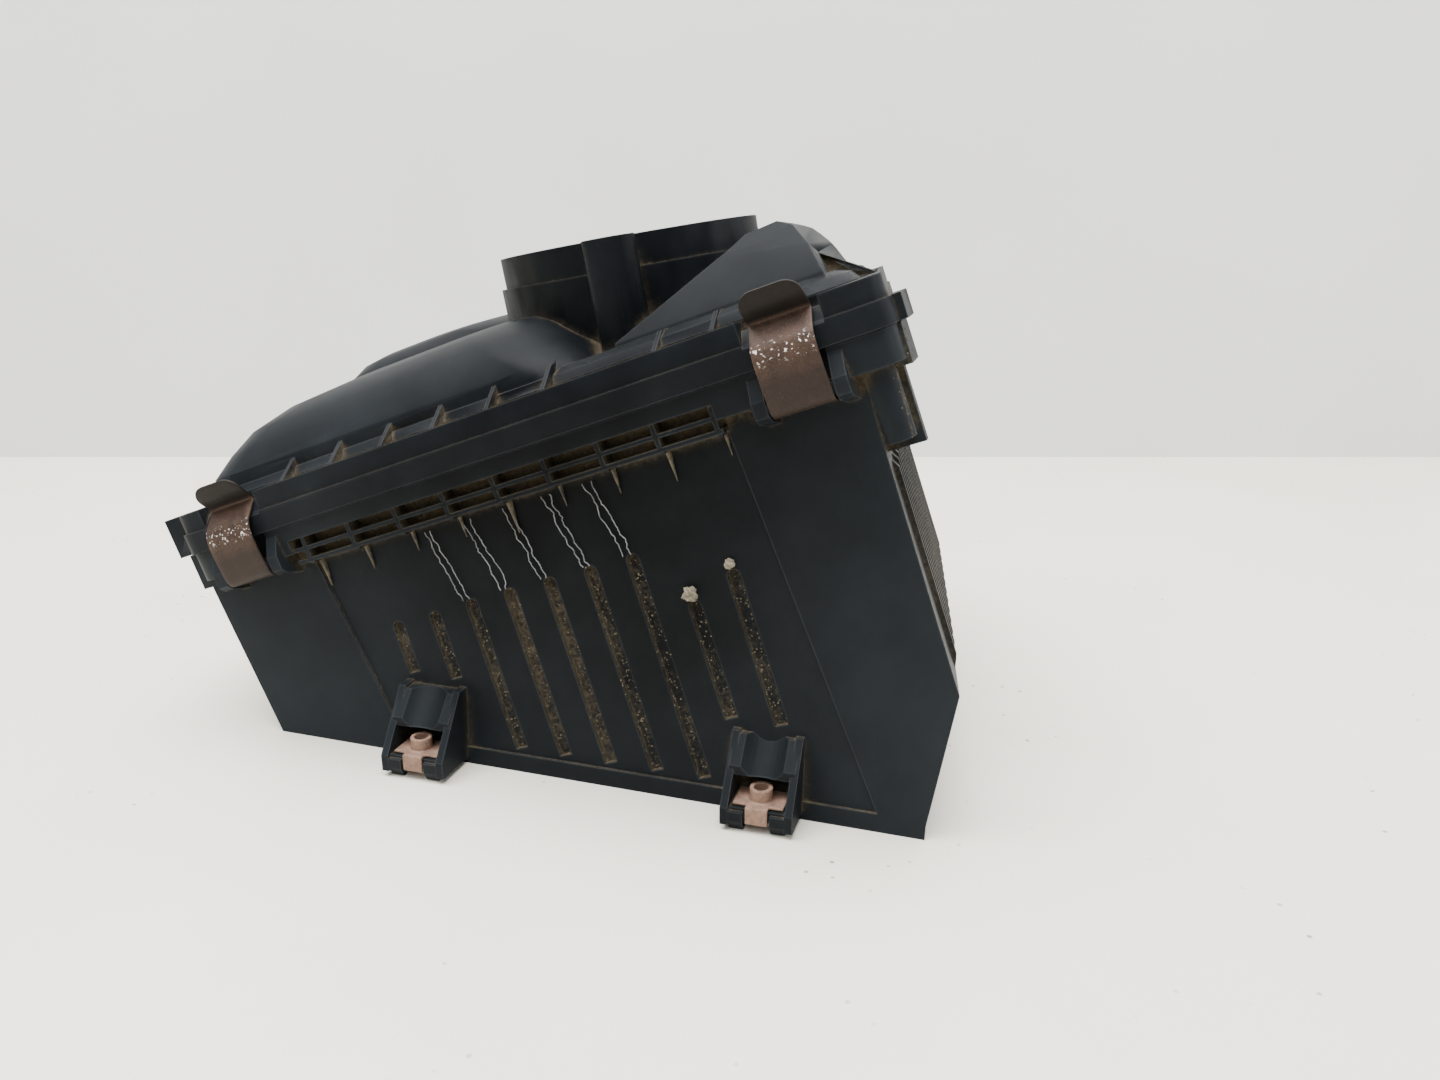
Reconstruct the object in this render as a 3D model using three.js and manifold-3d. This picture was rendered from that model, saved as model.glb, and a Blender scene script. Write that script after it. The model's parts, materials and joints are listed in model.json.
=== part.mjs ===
// Air filter housing: a wedge-shaped moulded case, a domed cover held by four sprung steel clips,
// and a pleated panel filter between them. Millimetres, +Z up, resting on its flat bottom.
import * as THREE from "three";
import { mergeVertices } from "three/addons/utils/BufferGeometryUtils.js";
import Module from "manifold-3d";

const wasm = await Module();
wasm.setup();

// ---- sizes that drive the housing -------------------------------------------------------------
// The flanges lie in a plane that rises to the right. In that plane s runs along the long side,
// y runs to the back and k stands square to it, up into the cover.
const TILT = 20 * (Math.PI / 180);
const PLANE_HEIGHT = 78.8; // height of the flange plane above the floor where s is 0
const FLANGE_LEFT = -12;
const FLANGE_RIGHT = 302;
const DEPTH = 215; // front to back over the flanges
const CORNER = 13; // plan radius of the flange corners
const TAPER_RIGHT = 34; // how much nearer the middle the right end stands at the back
const TAPER_LEFT = 8;
const GAP = 0.3; // plain gap between pieces that meet
const HALF_GAP = GAP / 2;

const WALL = 3;
const FRONT_WALL = 5.6; // thicker, because the grooved panel is sunk into it
const RIM_WIDTH = 18; // flange width, outer edge to opening
const RIGHT_EXTRA = 5; // the right end wall stands further in, so the opening does too
const CASE_FLANGE = 12; // depth of the case flange below the parting plane
const CASE_SETBACK = 1.2; // case flange edge behind the cover skirt
const COVER_RIM = 17; // height of the cover rim above the parting plane
const SKIRT = 9; // height of the thicker skirt on that rim
const SKIRT_STEP = 1.2;
const GUSSETS = 6; // stiffeners between the rim and the dome
const GUSSET_THICK = 1.8;
const PLATEAU = 22.5; // lowest roof level of the cover
const DOME_TOP = 47.4;

const WALL_INSET = 10.3; // front wall of the case behind the cover edge, at the parting plane
const FRONT_LEAN = 0.0805; // how far the front wall comes forward per mm of depth
const REAR_LEAN = 0.14;

const LENGTH = FLANGE_RIGHT - FLANGE_LEFT;
const PORT = {
  s: FLANGE_LEFT + LENGTH * 0.622,
  y: DEPTH / 2 + 2.5,
  k: 64.8,
  radius: 55.9,
  bore: 52.9,
  lip: 12.4,
  step: 2,
};
const PORT_LEAN = 9.8 * (Math.PI / 180);
const BOSS = { offset: 16.2, radius: 10.2, bore: 4.2, depth: 15 };
const BOSS_REACH = PORT.radius + PORT.step + BOSS.radius - 4.1; // the boss grows out of the collar
const INSERT = { radius: BOSS.bore - GAP, bore: 2.5, length: BOSS.depth - 2 };

const CLIP = { width: 22.5, thick: 1, k: -13.5, bar: 2.6, seatSlope: 9.4, hookY: 4.8 };
const CURL = CLIP.bar + GAP + 0.2 + CLIP.thick / 2; // middle of the sheet round the crossbar
const CLIP_FRONT = [FLANGE_LEFT + 22.5, FLANGE_RIGHT - 49.3]; // left edge of each front clip
const CLIP_REAR = [FLANGE_LEFT + 36, FLANGE_RIGHT - 74];
const RECESS_SIDE = 3.4; // room beside a clip in the cover rim
const CHEEK = 5;

const RIB_COUNT = 9;
const RIB_FIRST = FLANGE_LEFT + 61;
const RIB_LAST = FLANGE_RIGHT - 71;
const RIB_PITCH = (RIB_LAST - RIB_FIRST) / (RIB_COUNT - 1);
const RIB_THICK = 1.8;
const LIP = 6.5; // solid lip of the case flange above the rib grid

const GROOVE_FIRST = FLANGE_LEFT + LENGTH * 0.269;
const GROOVE_PITCH = LENGTH * 0.05764;
const GROOVE_WIDTH = 5.2;
const GROOVE_DEPTH = 2.2;
const PANEL_DEPTH = 1.2;

const SEAL = { ledge: 4.5, inset: 7, skirt: 16, skirtWidth: 8 };
const MEDIA = { top: -1.6, bottom: -42, thick: 1.5, pleats: 26 };
const END_RIBS = 13; // upright ribs on the right end wall
const CASE_RIGHT = FLANGE_RIGHT - 17.5; // right end wall, along s
const BASE_LEFT = FLANGE_LEFT + 38.8; // ends of the flat bottom, along the floor
const BASE_RIGHT = FLANGE_RIGHT - 1;
const KINK = { x: BASE_RIGHT + 9.1, z: 55.6 }; // where the end wall turns in towards the bottom
const BASE_LENGTH = BASE_RIGHT - BASE_LEFT;
const INLET = { x: BASE_LEFT + BASE_LENGTH * 0.595, z: 62, radius: 37, bore: 33.6, reach: 22 };
const LUG_CENTRES = [0.278, 0.7866].map((share) => BASE_LEFT + BASE_LENGTH * share);
const LUG = { width: 27, plate: 3, height: 32, reach: 18, shelf: 5, shelfThick: 4, hole: 3.6, holeY: -9.6 };
const NUT = { sheet: 1.1, leaf: 19, back: -15, strap: 8.4, barrel: 4.3, bore: 2.7, rise: 6 };

const MIDDLE = (FLANGE_LEFT + FLANGE_RIGHT) / 2;
const HALF_LENGTH = (FLANGE_RIGHT - FLANGE_LEFT) / 2;
const SIN = Math.sin(TILT);
const COS = Math.cos(TILT);

// ---- helpers ------------------------------------------------------------------------------------
// A closed geometry as a solid; a geometry that came out mirrored is turned right side out.
function solid(geometry) {
  const bare = geometry.index ? geometry.toNonIndexed() : geometry.clone();
  bare.deleteAttribute("normal");
  bare.deleteAttribute("uv");
  const merged = mergeVertices(bare, 1e-4);
  const corners = new Uint32Array(merged.index.array);
  const make = () =>
    new wasm.Manifold(
      new wasm.Mesh({ numProp: 3, vertProperties: merged.attributes.position.array, triVerts: corners }),
    );
  const made = make();
  if (made.volume() > 0) return made;
  for (let i = 0; i < corners.length; i += 3) {
    [corners[i + 1], corners[i + 2]] = [corners[i + 2], corners[i + 1]];
  }
  return make();
}

function joined(solids) {
  return solids.reduce((all, one) => all.add(one));
}

function cutBy(body, solids) {
  return solids.reduce((left, one) => left.subtract(one), body);
}

// The mesh of a finished solid, one plain material each.
function meshOf(name, body, color, rough = 0.6, metal = 0) {
  const out = body.getMesh();
  const geometry = new THREE.BufferGeometry();
  geometry.setAttribute("position", new THREE.BufferAttribute(Float32Array.from(out.vertProperties), 3));
  geometry.setIndex(new THREE.BufferAttribute(Uint32Array.from(out.triVerts), 1));
  const flat = geometry.toNonIndexed();
  flat.computeVertexNormals();
  const material = new THREE.MeshStandardMaterial({ color, roughness: rough, metalness: metal });
  material.name = name;
  const mesh = new THREE.Mesh(flat, material);
  mesh.name = name;
  return mesh;
}

function extruded(points, from, to) {
  const shape = new THREE.Shape(points.map(([a, b]) => new THREE.Vector2(a, b)));
  const geometry = new THREE.ExtrudeGeometry(shape, { depth: to - from, bevelEnabled: false });
  return geometry.translate(0, 0, from);
}

// Prism standing square to the flange plane, from a plan outline.
function prismK(points, from, to) {
  return solid(extruded(points, from, to));
}

// Prism along the long side, from a (y, k) section.
function prismS(points, from, to) {
  const turn = new THREE.Matrix4().makeBasis(
    new THREE.Vector3(0, 1, 0),
    new THREE.Vector3(0, 0, 1),
    new THREE.Vector3(1, 0, 0),
  );
  return solid(extruded(points, from, to).applyMatrix4(turn));
}

// Prism from front to back, from an (s, k) section; it can follow the taper of the plan.
function prismY(points, from, to, tapered = false) {
  const geometry = extruded(points, -to, -from).rotateX(Math.PI / 2);
  return solid(tapered ? follow(geometry) : geometry);
}

// The same for the case, whose ends close in level with the floor.
function prismLevel(points, from, to) {
  const geometry = extruded(points, -to, -from).rotateX(Math.PI / 2);
  return solid(follow(geometry, SIN / COS));
}

function block(s0, s1, y0, y1, k0, k1) {
  const geometry = new THREE.BoxGeometry(s1 - s0, y1 - y0, k1 - k0);
  return solid(geometry.translate((s0 + s1) / 2, (y0 + y1) / 2, (k0 + k1) / 2));
}

// Round bar between two heights on an axis through a point.
function rod(radius, from, to, point, axis, sides = 40) {
  const geometry = new THREE.CylinderGeometry(radius, radius, to - from, sides);
  geometry.translate(0, (from + to) / 2, 0);
  const turn = new THREE.Quaternion().setFromUnitVectors(new THREE.Vector3(0, 1, 0), axis);
  return solid(geometry.applyQuaternion(turn).translate(point.x, point.y, point.z));
}

// Where a point of the straight plan stands once the ends close in towards the back.
function taper(s, y) {
  const share = (s > MIDDLE ? TAPER_RIGHT : TAPER_LEFT) / HALF_LENGTH;
  return MIDDLE + (s - MIDDLE) * (1 - (share * y) / DEPTH);
}

function follow(geometry, drop = 0) {
  const at = geometry.attributes.position;
  for (let i = 0; i < at.count; i += 1) {
    const s = taper(at.getX(i), at.getY(i));
    at.setZ(i, at.getZ(i) - (s - at.getX(i)) * drop);
    at.setX(i, s);
  }
  return geometry;
}

// Floor coordinates of a point turned into the flange plane's own.
function inPlane(x, z) {
  const rise = z - PLANE_HEIGHT;
  return [x * COS + rise * SIN, -x * SIN + rise * COS];
}

// Rounded plan outline between four limits.
function rounded(left, right, front, back, radius, steps = 5) {
  const centres = [
    [right - radius, back - radius, 0],
    [left + radius, back - radius, 1],
    [left + radius, front + radius, 2],
    [right - radius, front + radius, 3],
  ];
  const points = [];
  for (const [s, y, quarter] of centres) {
    for (let i = 0; i <= steps; i += 1) {
      const angle = (quarter + i / steps) * (Math.PI / 2);
      points.push([s + radius * Math.cos(angle), y + radius * Math.sin(angle)]);
    }
  }
  return points.map(([s, y]) => [taper(s, y), y]);
}

function flangeOutline(inset) {
  const radius = Math.max(CORNER - inset, 4);
  return rounded(FLANGE_LEFT + inset, FLANGE_RIGHT - inset, inset, DEPTH - inset, radius);
}

function openingOutline(inset) {
  return rounded(FLANGE_LEFT + inset, FLANGE_RIGHT - RIGHT_EXTRA - inset, inset, DEPTH - inset, 4);
}

// Solid skinned over convex rings of equal count, listed from the bottom up.
function skinned(rings) {
  const count = rings[0].length;
  const at = rings.flatMap((ring) => ring.flatMap((p) => p));
  const faces = [];
  for (let r = 0; r + 1 < rings.length; r += 1) {
    for (let i = 0; i < count; i += 1) {
      const j = (i + 1) % count;
      const a = r * count + i;
      const b = r * count + j;
      faces.push(a, b, b + count, a, b + count, a + count);
    }
  }
  const top = (rings.length - 1) * count;
  for (let i = 1; i + 1 < count; i += 1) {
    faces.push(0, i + 1, i, top, top + i, top + i + 1);
  }
  const geometry = new THREE.BufferGeometry();
  geometry.setAttribute("position", new THREE.Float32BufferAttribute(at, 3));
  geometry.setIndex(faces);
  return solid(geometry);
}

// Dome from rows of [k, left, right, front, back, radius], shrunk all round by a wall.
function dome(rows, wall) {
  const rings = rows.map(([k, left, right, front, back, radius], i) => {
    const height = i === 0 ? k - wall * 4 : k - wall;
    const size = Math.max(radius - wall, 5);
    const outline = rounded(left + wall, right - wall, front + wall, back - wall, size, 6);
    return outline.map(([s, y]) => [s, y, height]);
  });
  return skinned(rings);
}

// A convex polygon, listed anticlockwise, with every side moved in by its own amount.
function shrunk(points, amounts) {
  const count = points.length;
  const lines = points.map(([a, b], i) => {
    const [c, d] = points[(i + 1) % count];
    const length = Math.hypot(c - a, d - b);
    const normal = [-(d - b) / length, (c - a) / length];
    return { normal, reach: normal[0] * a + normal[1] * b + amounts[i] };
  });
  return lines.map((line, i) => {
    const before = lines[(i + count - 1) % count];
    const [a, b] = before.normal;
    const [c, d] = line.normal;
    const spread = a * d - b * c;
    return [(before.reach * d - b * line.reach) / spread, (a * line.reach - before.reach * c) / spread];
  });
}

const PORT_AXIS = new THREE.Vector3(Math.sin(PORT_LEAN), 0, Math.cos(PORT_LEAN));
const PORT_CENTRE = new THREE.Vector3(PORT.s, PORT.y, PORT.k);

function bossPoint(side) {
  return new THREE.Vector3(
    PORT.s + BOSS.offset * Math.cos(PORT_LEAN),
    PORT.y + side * BOSS_REACH,
    PORT.k - BOSS.offset * Math.sin(PORT_LEAN),
  );
}

// ---- upper cover --------------------------------------------------------------------------------
// Everything the cover's roof is made of, solid; with a wall it is the room inside.
function coverMass(wall) {
  const plateau = [9.5, 9.5, 12, 18].map((inset, i) => {
    const level = [6, COVER_RIM + 0.5, 20.5, PLATEAU][i];
    const ends = [FLANGE_LEFT + inset, FLANGE_RIGHT - inset, inset, DEPTH - inset];
    return [level, ...ends, 20];
  });
  // Rows of level, then how far in from the left end, the port axis, the front and the back.
  const left = [
    [14, 8, -6.7, 11, 11, 18],
    [26, 10, 2.3, 14, 13, 20],
    [33, 16, 11.3, 20, 17, 22],
    [40, 24, 19.3, 28, 23, 24],
    [44.8, 36, 27.3, 40, 31, 26],
    [DOME_TOP, 58, 39.3, 58, 45, 28],
  ].map(([k, l, r, f, b, size]) => [k, FLANGE_LEFT + l, PORT.s - r, f, DEPTH - b, size]);
  const back = [
    [14, 40, 92, 11, 18],
    [28, 50, 98, 15, 20],
    [38, 60, 106, 21, 22],
    [44, 72, 116, 29, 24],
  ].map(([k, r, f, b, size]) => [k, PORT.s - 83, FLANGE_RIGHT - r, f, DEPTH - b, size]);
  const bulge = [
    [40, 22, 51, 98, 17, 18],
    [50.2, 26, 63, 106, 22, 20],
    [54.2, 31, 79, 112, 27, 20],
    [56, 38, 99, 120, 35, 20],
  ].map(([k, l, r, f, b, size]) => [k, FLANGE_LEFT + l, PORT.s - r, f, DEPTH - b, size]);
  return joined([dome(plateau, wall), dome(left, wall), dome(back, wall), dome(bulge, wall), ridge(wall)]);
}

// Ridge over the right end: a long ramp up from the left, then a steep fall to the rim.
function ridge(wall) {
  const section = [
    [-106, 12],
    [-16, 12],
    [-20, 22],
    [-23, 34],
    [-27, 42],
    [-33, 45.6],
    [-46, 45],
    [-103, 24],
  ].map(([s, k]) => [FLANGE_RIGHT + s, k]);
  const side = [
    [16, 12],
    [DEPTH - 15, 12],
    [DEPTH - 15, 22],
    [DEPTH - 65, 36],
    [82, 48],
    [47, 48],
    [36, 40],
    [22, 24],
  ];
  const all = section.map((_, i) => (i === 0 ? -wall * 2 : wall));
  const run = prismY(shrunk(section, all), 5, DEPTH - 5, true);
  const sides = side.map((_, i) => (i === 0 ? -wall * 2 : wall));
  return run.intersect(prismS(shrunk(side, sides), FLANGE_RIGHT - 150, FLANGE_RIGHT + 20));
}

function coverRim() {
  const skirt = prismK(flangeOutline(0), HALF_GAP, SKIRT);
  const band = prismK(flangeOutline(SKIRT_STEP), SKIRT - 1, COVER_RIM);
  const opening = prismK(openingOutline(RIM_WIDTH), -5, COVER_RIM - 4);
  return skirt.add(band).subtract(opening);
}

// Rounded triangular stiffeners where the dome meets the rim.
function coverGussets() {
  const tall = [
    [1.8, COVER_RIM - 1],
    [20, COVER_RIM - 1],
    [20, COVER_RIM + 8],
    [14, COVER_RIM + 7.4],
    [1.8, COVER_RIM + 0.4],
  ];
  const low = tall.map(([y, k]) => [y + 2, Math.min(k, COVER_RIM + 6)]);
  const made = [];
  for (let i = 0; i < GUSSETS; i += 1) {
    const s = FLANGE_LEFT + LENGTH * (0.2022 + i * 0.0777);
    made.push(prismS(tall, s - GUSSET_THICK / 2, s + GUSSET_THICK / 2));
  }
  for (const back of [84, 62]) {
    const s = FLANGE_RIGHT - back;
    made.push(prismS(low, s - GUSSET_THICK / 2, s + GUSSET_THICK / 2));
  }
  return made;
}

// Room in the cover rim for one clip: a sloped seat the hook draws down on.
function clipRecess(s0, atBack) {
  const seat = CLIP.hookY + 0.9;
  const low = CLIP.seatSlope - 1.5;
  const section = [
    [-2, low - 2],
    [seat, low + seat],
    [9.2, low + seat],
    [9.2, 30],
    [-2, 30],
  ];
  return prismS(atBack ? mirrored(section) : section, s0 - RECESS_SIDE, s0 + CLIP.width + RECESS_SIDE);
}

function mirrored(section) {
  return section.map(([y, k]) => [DEPTH - y, k]).reverse();
}

function clipPlaces() {
  const front = CLIP_FRONT.map((s0, i) => ({ s0, atBack: false, name: i ? "front_right" : "front_left" }));
  const rear = CLIP_REAR.map((s0, i) => ({ s0, atBack: true, name: i ? "rear_right" : "rear_left" }));
  return front.concat(rear);
}

function bossBody(side) {
  return rod(BOSS.radius, -46, 0, bossPoint(side), PORT_AXIS, 32);
}

function upperCover() {
  const port = joined([
    rod(PORT.radius, -20, 0, PORT_CENTRE, PORT_AXIS, 72),
    rod(PORT.radius + PORT.step, -47, -PORT.lip, PORT_CENTRE, PORT_AXIS, 72),
  ]);
  const web = [
    [-46, COVER_RIM - 2],
    [-11, COVER_RIM - 2],
    [-11.5, COVER_RIM + 0.5],
    [-32, 32.6],
    [-46, 33.4],
  ].map(([s, k]) => [FLANGE_RIGHT + s, k]);
  const outer = joined([
    coverRim(),
    coverMass(0),
    port,
    bossBody(-1),
    bossBody(1),
    prismY(web, 50, 52.6),
    prismY(web.map(([s, k]) => [s - 20, Math.min(k, 24)]), DEPTH - 59, DEPTH - 56.4),
    ...coverGussets(),
    block(FLANGE_LEFT - 6.5, FLANGE_LEFT + 8, 8, 20, HALF_GAP, COVER_RIM),
    block(FLANGE_RIGHT - 12, FLANGE_RIGHT + 1, 12, 26, HALF_GAP, SKIRT),
  ]);
  const inside = coverMass(WALL);
  const hollow = cutBy(outer, [
    inside,
    prismK(openingOutline(RIM_WIDTH), -5, COVER_RIM - 4),
    rod(PORT.bore, -60, 2, PORT_CENTRE, PORT_AXIS, 72),
    ...[-1, 1].map((side) => rod(BOSS.bore, -BOSS.depth, 2, bossPoint(side), PORT_AXIS, 28)),
  ]);
  return cutBy(hollow, clipPlaces().map(({ s0, atBack }) => clipRecess(s0, atBack)));
}

function bossInsert(side) {
  const body = rod(INSERT.radius, -INSERT.length - 0.6, -0.6, bossPoint(side), PORT_AXIS, 28);
  const flange = rod(INSERT.bore, -40, 2, bossPoint(side), PORT_AXIS, 24);
  return body.subtract(flange);
}

// ---- lower case ---------------------------------------------------------------------------------
function wallY(k) {
  return WALL_INSET + FRONT_LEAN * k;
}

// The wedge of the case, solid; with walls it is the room inside.
function caseMass(wall, front, top) {
  const section = [
    inPlane(BASE_LEFT, 0),
    inPlane(BASE_RIGHT, 0),
    inPlane(KINK.x, KINK.z),
    [CASE_RIGHT, -40],
    [CASE_RIGHT + 1.5, 20],
    [FLANGE_LEFT - 1, 20],
    [FLANGE_LEFT + 2, -18],
  ];
  const amounts = section.map((_, i) => (i === 4 ? 0 : wall));
  const depths = [
    [wallY(-190), -190],
    [DEPTH - WALL_INSET - REAR_LEAN * 190, -190],
    [DEPTH - WALL_INSET + REAR_LEAN * top, top],
    [wallY(top), top],
  ];
  const run = prismLevel(shrunk(section, amounts), -30, DEPTH + 30);
  return run.intersect(prismS(shrunk(depths, [0, wall, 0, front]), FLANGE_LEFT - 50, FLANGE_RIGHT + 60));
}

// Slab just under the skin of the front wall, for what is sunk into it.
function underSkin(deep) {
  const face = [
    [-60, -200],
    [wallY(-200) + deep, -200],
    [wallY(0) + deep, 0],
    [-60, 0],
  ];
  return prismS(face, FLANGE_LEFT - 50, FLANGE_RIGHT + 60);
}

// Shallow field of the front wall, from the rib grid down to the base band.
function frontPanel() {
  const outline = [
    inPlane(BASE_LEFT + 60, 7),
    inPlane(BASE_RIGHT - 17, 7),
    [RIB_LAST + 1.3, -LIP - 11.5],
    [RIB_FIRST - 3.4, -LIP - 11.5],
  ];
  return prismY(outline, -50, 40).intersect(underSkin(PANEL_DEPTH));
}

function grooveSpan(i) {
  const tops = [-51, -51, -50, -50, -50, -50, -50, -72.5, -65];
  const lowest = i < 2 || i > 6 ? 35 : 9.5;
  const s = GROOVE_FIRST + GROOVE_PITCH * i;
  return { s, top: tops[i], bottom: (lowest - PLANE_HEIGHT - s * SIN) / COS };
}

function groove(i) {
  const { s, top, bottom } = grooveSpan(i);
  const half = GROOVE_WIDTH / 2;
  const outline = [[s - half, bottom], [s + half, bottom]];
  for (let step = 0; step <= 6; step += 1) {
    const angle = (step / 6) * Math.PI;
    outline.push([s + half * Math.cos(angle), top - half + half * Math.sin(angle)]);
  }
  return prismY(outline, -50, 40).intersect(underSkin(PANEL_DEPTH + GROOVE_DEPTH));
}

// Rib grid under the flange lip; each upright runs out in a pointed tail.
function ribGrid(atBack) {
  const place = (section, s0, s1) => prismS(atBack ? mirrored(section) : section, s0, s1);
  const box = (y0, y1, k0, k1) => [[y0, k0], [y1, k0], [y1, k1], [y0, k1]];
  const made = [
    place(box(2.4, 13, -12, -10.4), RIB_FIRST - 6, RIB_LAST + 2),
    place(box(2.4, 13, -17, -15.4), RIB_FIRST - 6, RIB_LAST + 2),
  ];
  const tail = [
    [3.2, -16.5],
    [3.2, -17.4],
    [wallY(-28), -28],
    [13, -28],
    [13, -LIP + 0.5],
    [2.4, -LIP + 0.5],
    [2.4, -16.5],
  ].reverse();
  for (let i = 0; i < RIB_COUNT; i += 1) {
    const s = RIB_FIRST + RIB_PITCH * i;
    made.push(place(tail, s - RIB_THICK / 2, s + RIB_THICK / 2));
  }
  return made;
}

// Cheeks and crossbar that one clip swings on.
function clipPivot({ s0, atBack }) {
  const cheek = [
    [14, -2],
    [1.2, -2],
    [-3.2, CLIP.k + 3.4],
    [-3.2, CLIP.k - 2.4],
    [-1, CLIP.k - 4.4],
    [14, CLIP.k - 8],
  ];
  const shape = atBack ? mirrored(cheek) : cheek;
  const y = atBack ? DEPTH : 0;
  const near = s0 - 0.8;
  const far = s0 + CLIP.width + 0.8;
  const point = new THREE.Vector3(0, y, CLIP.k);
  return joined([
    prismS(shape, near - CHEEK, near),
    prismS(shape, far, far + CHEEK),
    rod(CLIP.bar, near - 1, far + 1, point, new THREE.Vector3(1, 0, 0), 24),
  ]);
}

function caseFlange() {
  const plate = prismK(flangeOutline(CASE_SETBACK), -CASE_FLANGE, -HALF_GAP);
  const pockets = [
    block(RIB_FIRST - 6, RIB_LAST + 1, -5, 9.4, -CASE_FLANGE - 1, -LIP),
    block(RIB_FIRST - 6, RIB_LAST + 1, DEPTH - 9.4, DEPTH + 5, -CASE_FLANGE - 1, -LIP),
  ];
  return cutBy(plate, pockets);
}

// One base lug in floor coordinates: side plates, a scooped roof, a shelf and two prongs.
function baseLug(centre) {
  const half = LUG.width / 2;
  const sunk = 6;
  const plate = [
    [sunk, 2],
    [sunk, LUG.height],
    [-1, LUG.height],
    [-LUG.reach, LUG.shelf + 4],
    [-LUG.reach, LUG.shelf - 2.6],
    [-3, 2],
  ];
  const roof = [
    [sunk, 15],
    [sunk, LUG.height - 1],
    [-1, LUG.height - 1],
    [-9.5, 22],
    [-9.5, 18.5],
  ];
  const top = LUG.shelf + LUG.shelfThick;
  const shelf = [
    [sunk, LUG.shelf],
    [sunk, top],
    [-LUG.reach + 1.6, top],
    [-LUG.reach + 1.6, LUG.shelf],
  ];
  const prong = [
    [-LUG.reach + 6, top - 1],
    [-LUG.reach, top - 1],
    [-LUG.reach, LUG.shelf - 1],
    [-LUG.reach + 2, 0.4],
    [-LUG.reach + 3.6, 0.4],
    [-LUG.reach + 6, LUG.shelf - 1],
  ];
  const strap = NUT.strap / 2 + 0.8;
  const slope = new THREE.Vector3(0, -8.5, -9).normalize();
  const solids = [
    prismS(plate, centre - half, centre - half + LUG.plate),
    prismS(plate, centre + half - LUG.plate, centre + half),
    prismS(roof, centre - half + 1, centre + half - 1).subtract(
      rod(half - 2.2, -40, 60, new THREE.Vector3(centre, -9.5, 33.5), slope, 36),
    ),
    prismS(shelf, centre - half + 1, centre + half - 1),
    prismS(prong, centre - strap - 5.4, centre - strap),
    prismS(prong, centre + strap, centre + strap + 5.4),
  ];
  const hole = new THREE.Vector3(centre, LUG.holeY, 0);
  return joined(solids).subtract(rod(LUG.hole, -5, top + 3, hole, new THREE.Vector3(0, 0, 1), 28));
}

// The same solid moved from floor coordinates into the flange plane's.
function leaned(body) {
  const out = body.getMesh();
  const geometry = new THREE.BufferGeometry();
  geometry.setAttribute("position", new THREE.BufferAttribute(Float32Array.from(out.vertProperties), 3));
  geometry.setIndex(new THREE.BufferAttribute(Uint32Array.from(out.triVerts), 1));
  return solid(geometry.translate(0, 0, -PLANE_HEIGHT).rotateY(TILT));
}

function inletPoint() {
  const [s, k] = inPlane(INLET.x, INLET.z);
  return new THREE.Vector3(s, 0, k);
}

// Upright ribs on the right end wall.
function endRibs() {
  const made = [];
  for (let i = 0; i < END_RIBS; i += 1) {
    const y = 24 + i * ((DEPTH - 83) / (END_RIBS - 1));
    const face = [[-6, -122], [-1, -127], [1, -122], [1.9, -50], [-0.5, -46], [-6, -46]];
    made.push(prismLevel(face.map(([s, k]) => [CASE_RIGHT + s, k]), y - 1.5, y + 1.5));
  }
  return made;
}

function lowerCase() {
  const point = inletPoint();
  const back = new THREE.Vector3(0, 1, 0);
  const wallBack = DEPTH - WALL_INSET + REAR_LEAN * point.z;
  const end = DEPTH + INLET.reach;
  const outer = joined([
    caseMass(0, 0, -4),
    caseFlange(),
    ...ribGrid(false),
    ...ribGrid(true),
    rod(6.5, -38, -8, new THREE.Vector3(CASE_RIGHT + 3, 14, 0), new THREE.Vector3(0, 0, 1), 24),
    rod(INLET.radius, wallBack - 5, end, point, back, 56),
    rod(INLET.radius + 1.4, end - 4, end, point, back, 56),
    block(FLANGE_LEFT - 2.5, FLANGE_LEFT + 8, 9, 21, -15.5, -HALF_GAP),
    block(FLANGE_RIGHT - 14, FLANGE_RIGHT - 2, 13, 27, -14.5, -HALF_GAP),
    block(CASE_RIGHT - 14.5, CASE_RIGHT + 11, 20, 24, -42, -10),
    ...endRibs(),
  ]);
  const slots = clipPlaces().map(({ s0, atBack }) => {
    const y0 = atBack ? DEPTH - 4.6 : -6;
    const y1 = atBack ? DEPTH + 6 : 4.6;
    return block(s0 - 0.8, s0 + CLIP.width + 0.8, y0, y1, -30, 1);
  });
  const grooves = [0, 1, 2, 3, 4, 5, 6, 7, 8].map(groove);
  const shaped = cutBy(outer, [...slots, frontPanel(), ...grooves]);
  const lugs = LUG_CENTRES.map((x) => leaned(baseLug(x)));
  const held = joined([shaped, ...clipPlaces().map(clipPivot), ...lugs]);
  return cutBy(held, [
    caseMass(WALL, FRONT_WALL, -8),
    prismK(openingOutline(RIM_WIDTH), -CASE_FLANGE - 3, 5),
    prismK(flangeOutline(SEAL.inset), -SEAL.ledge, 5),
    rod(INLET.bore, wallBack - 9, end + 2, point, back, 56),
  ]);
}

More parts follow.
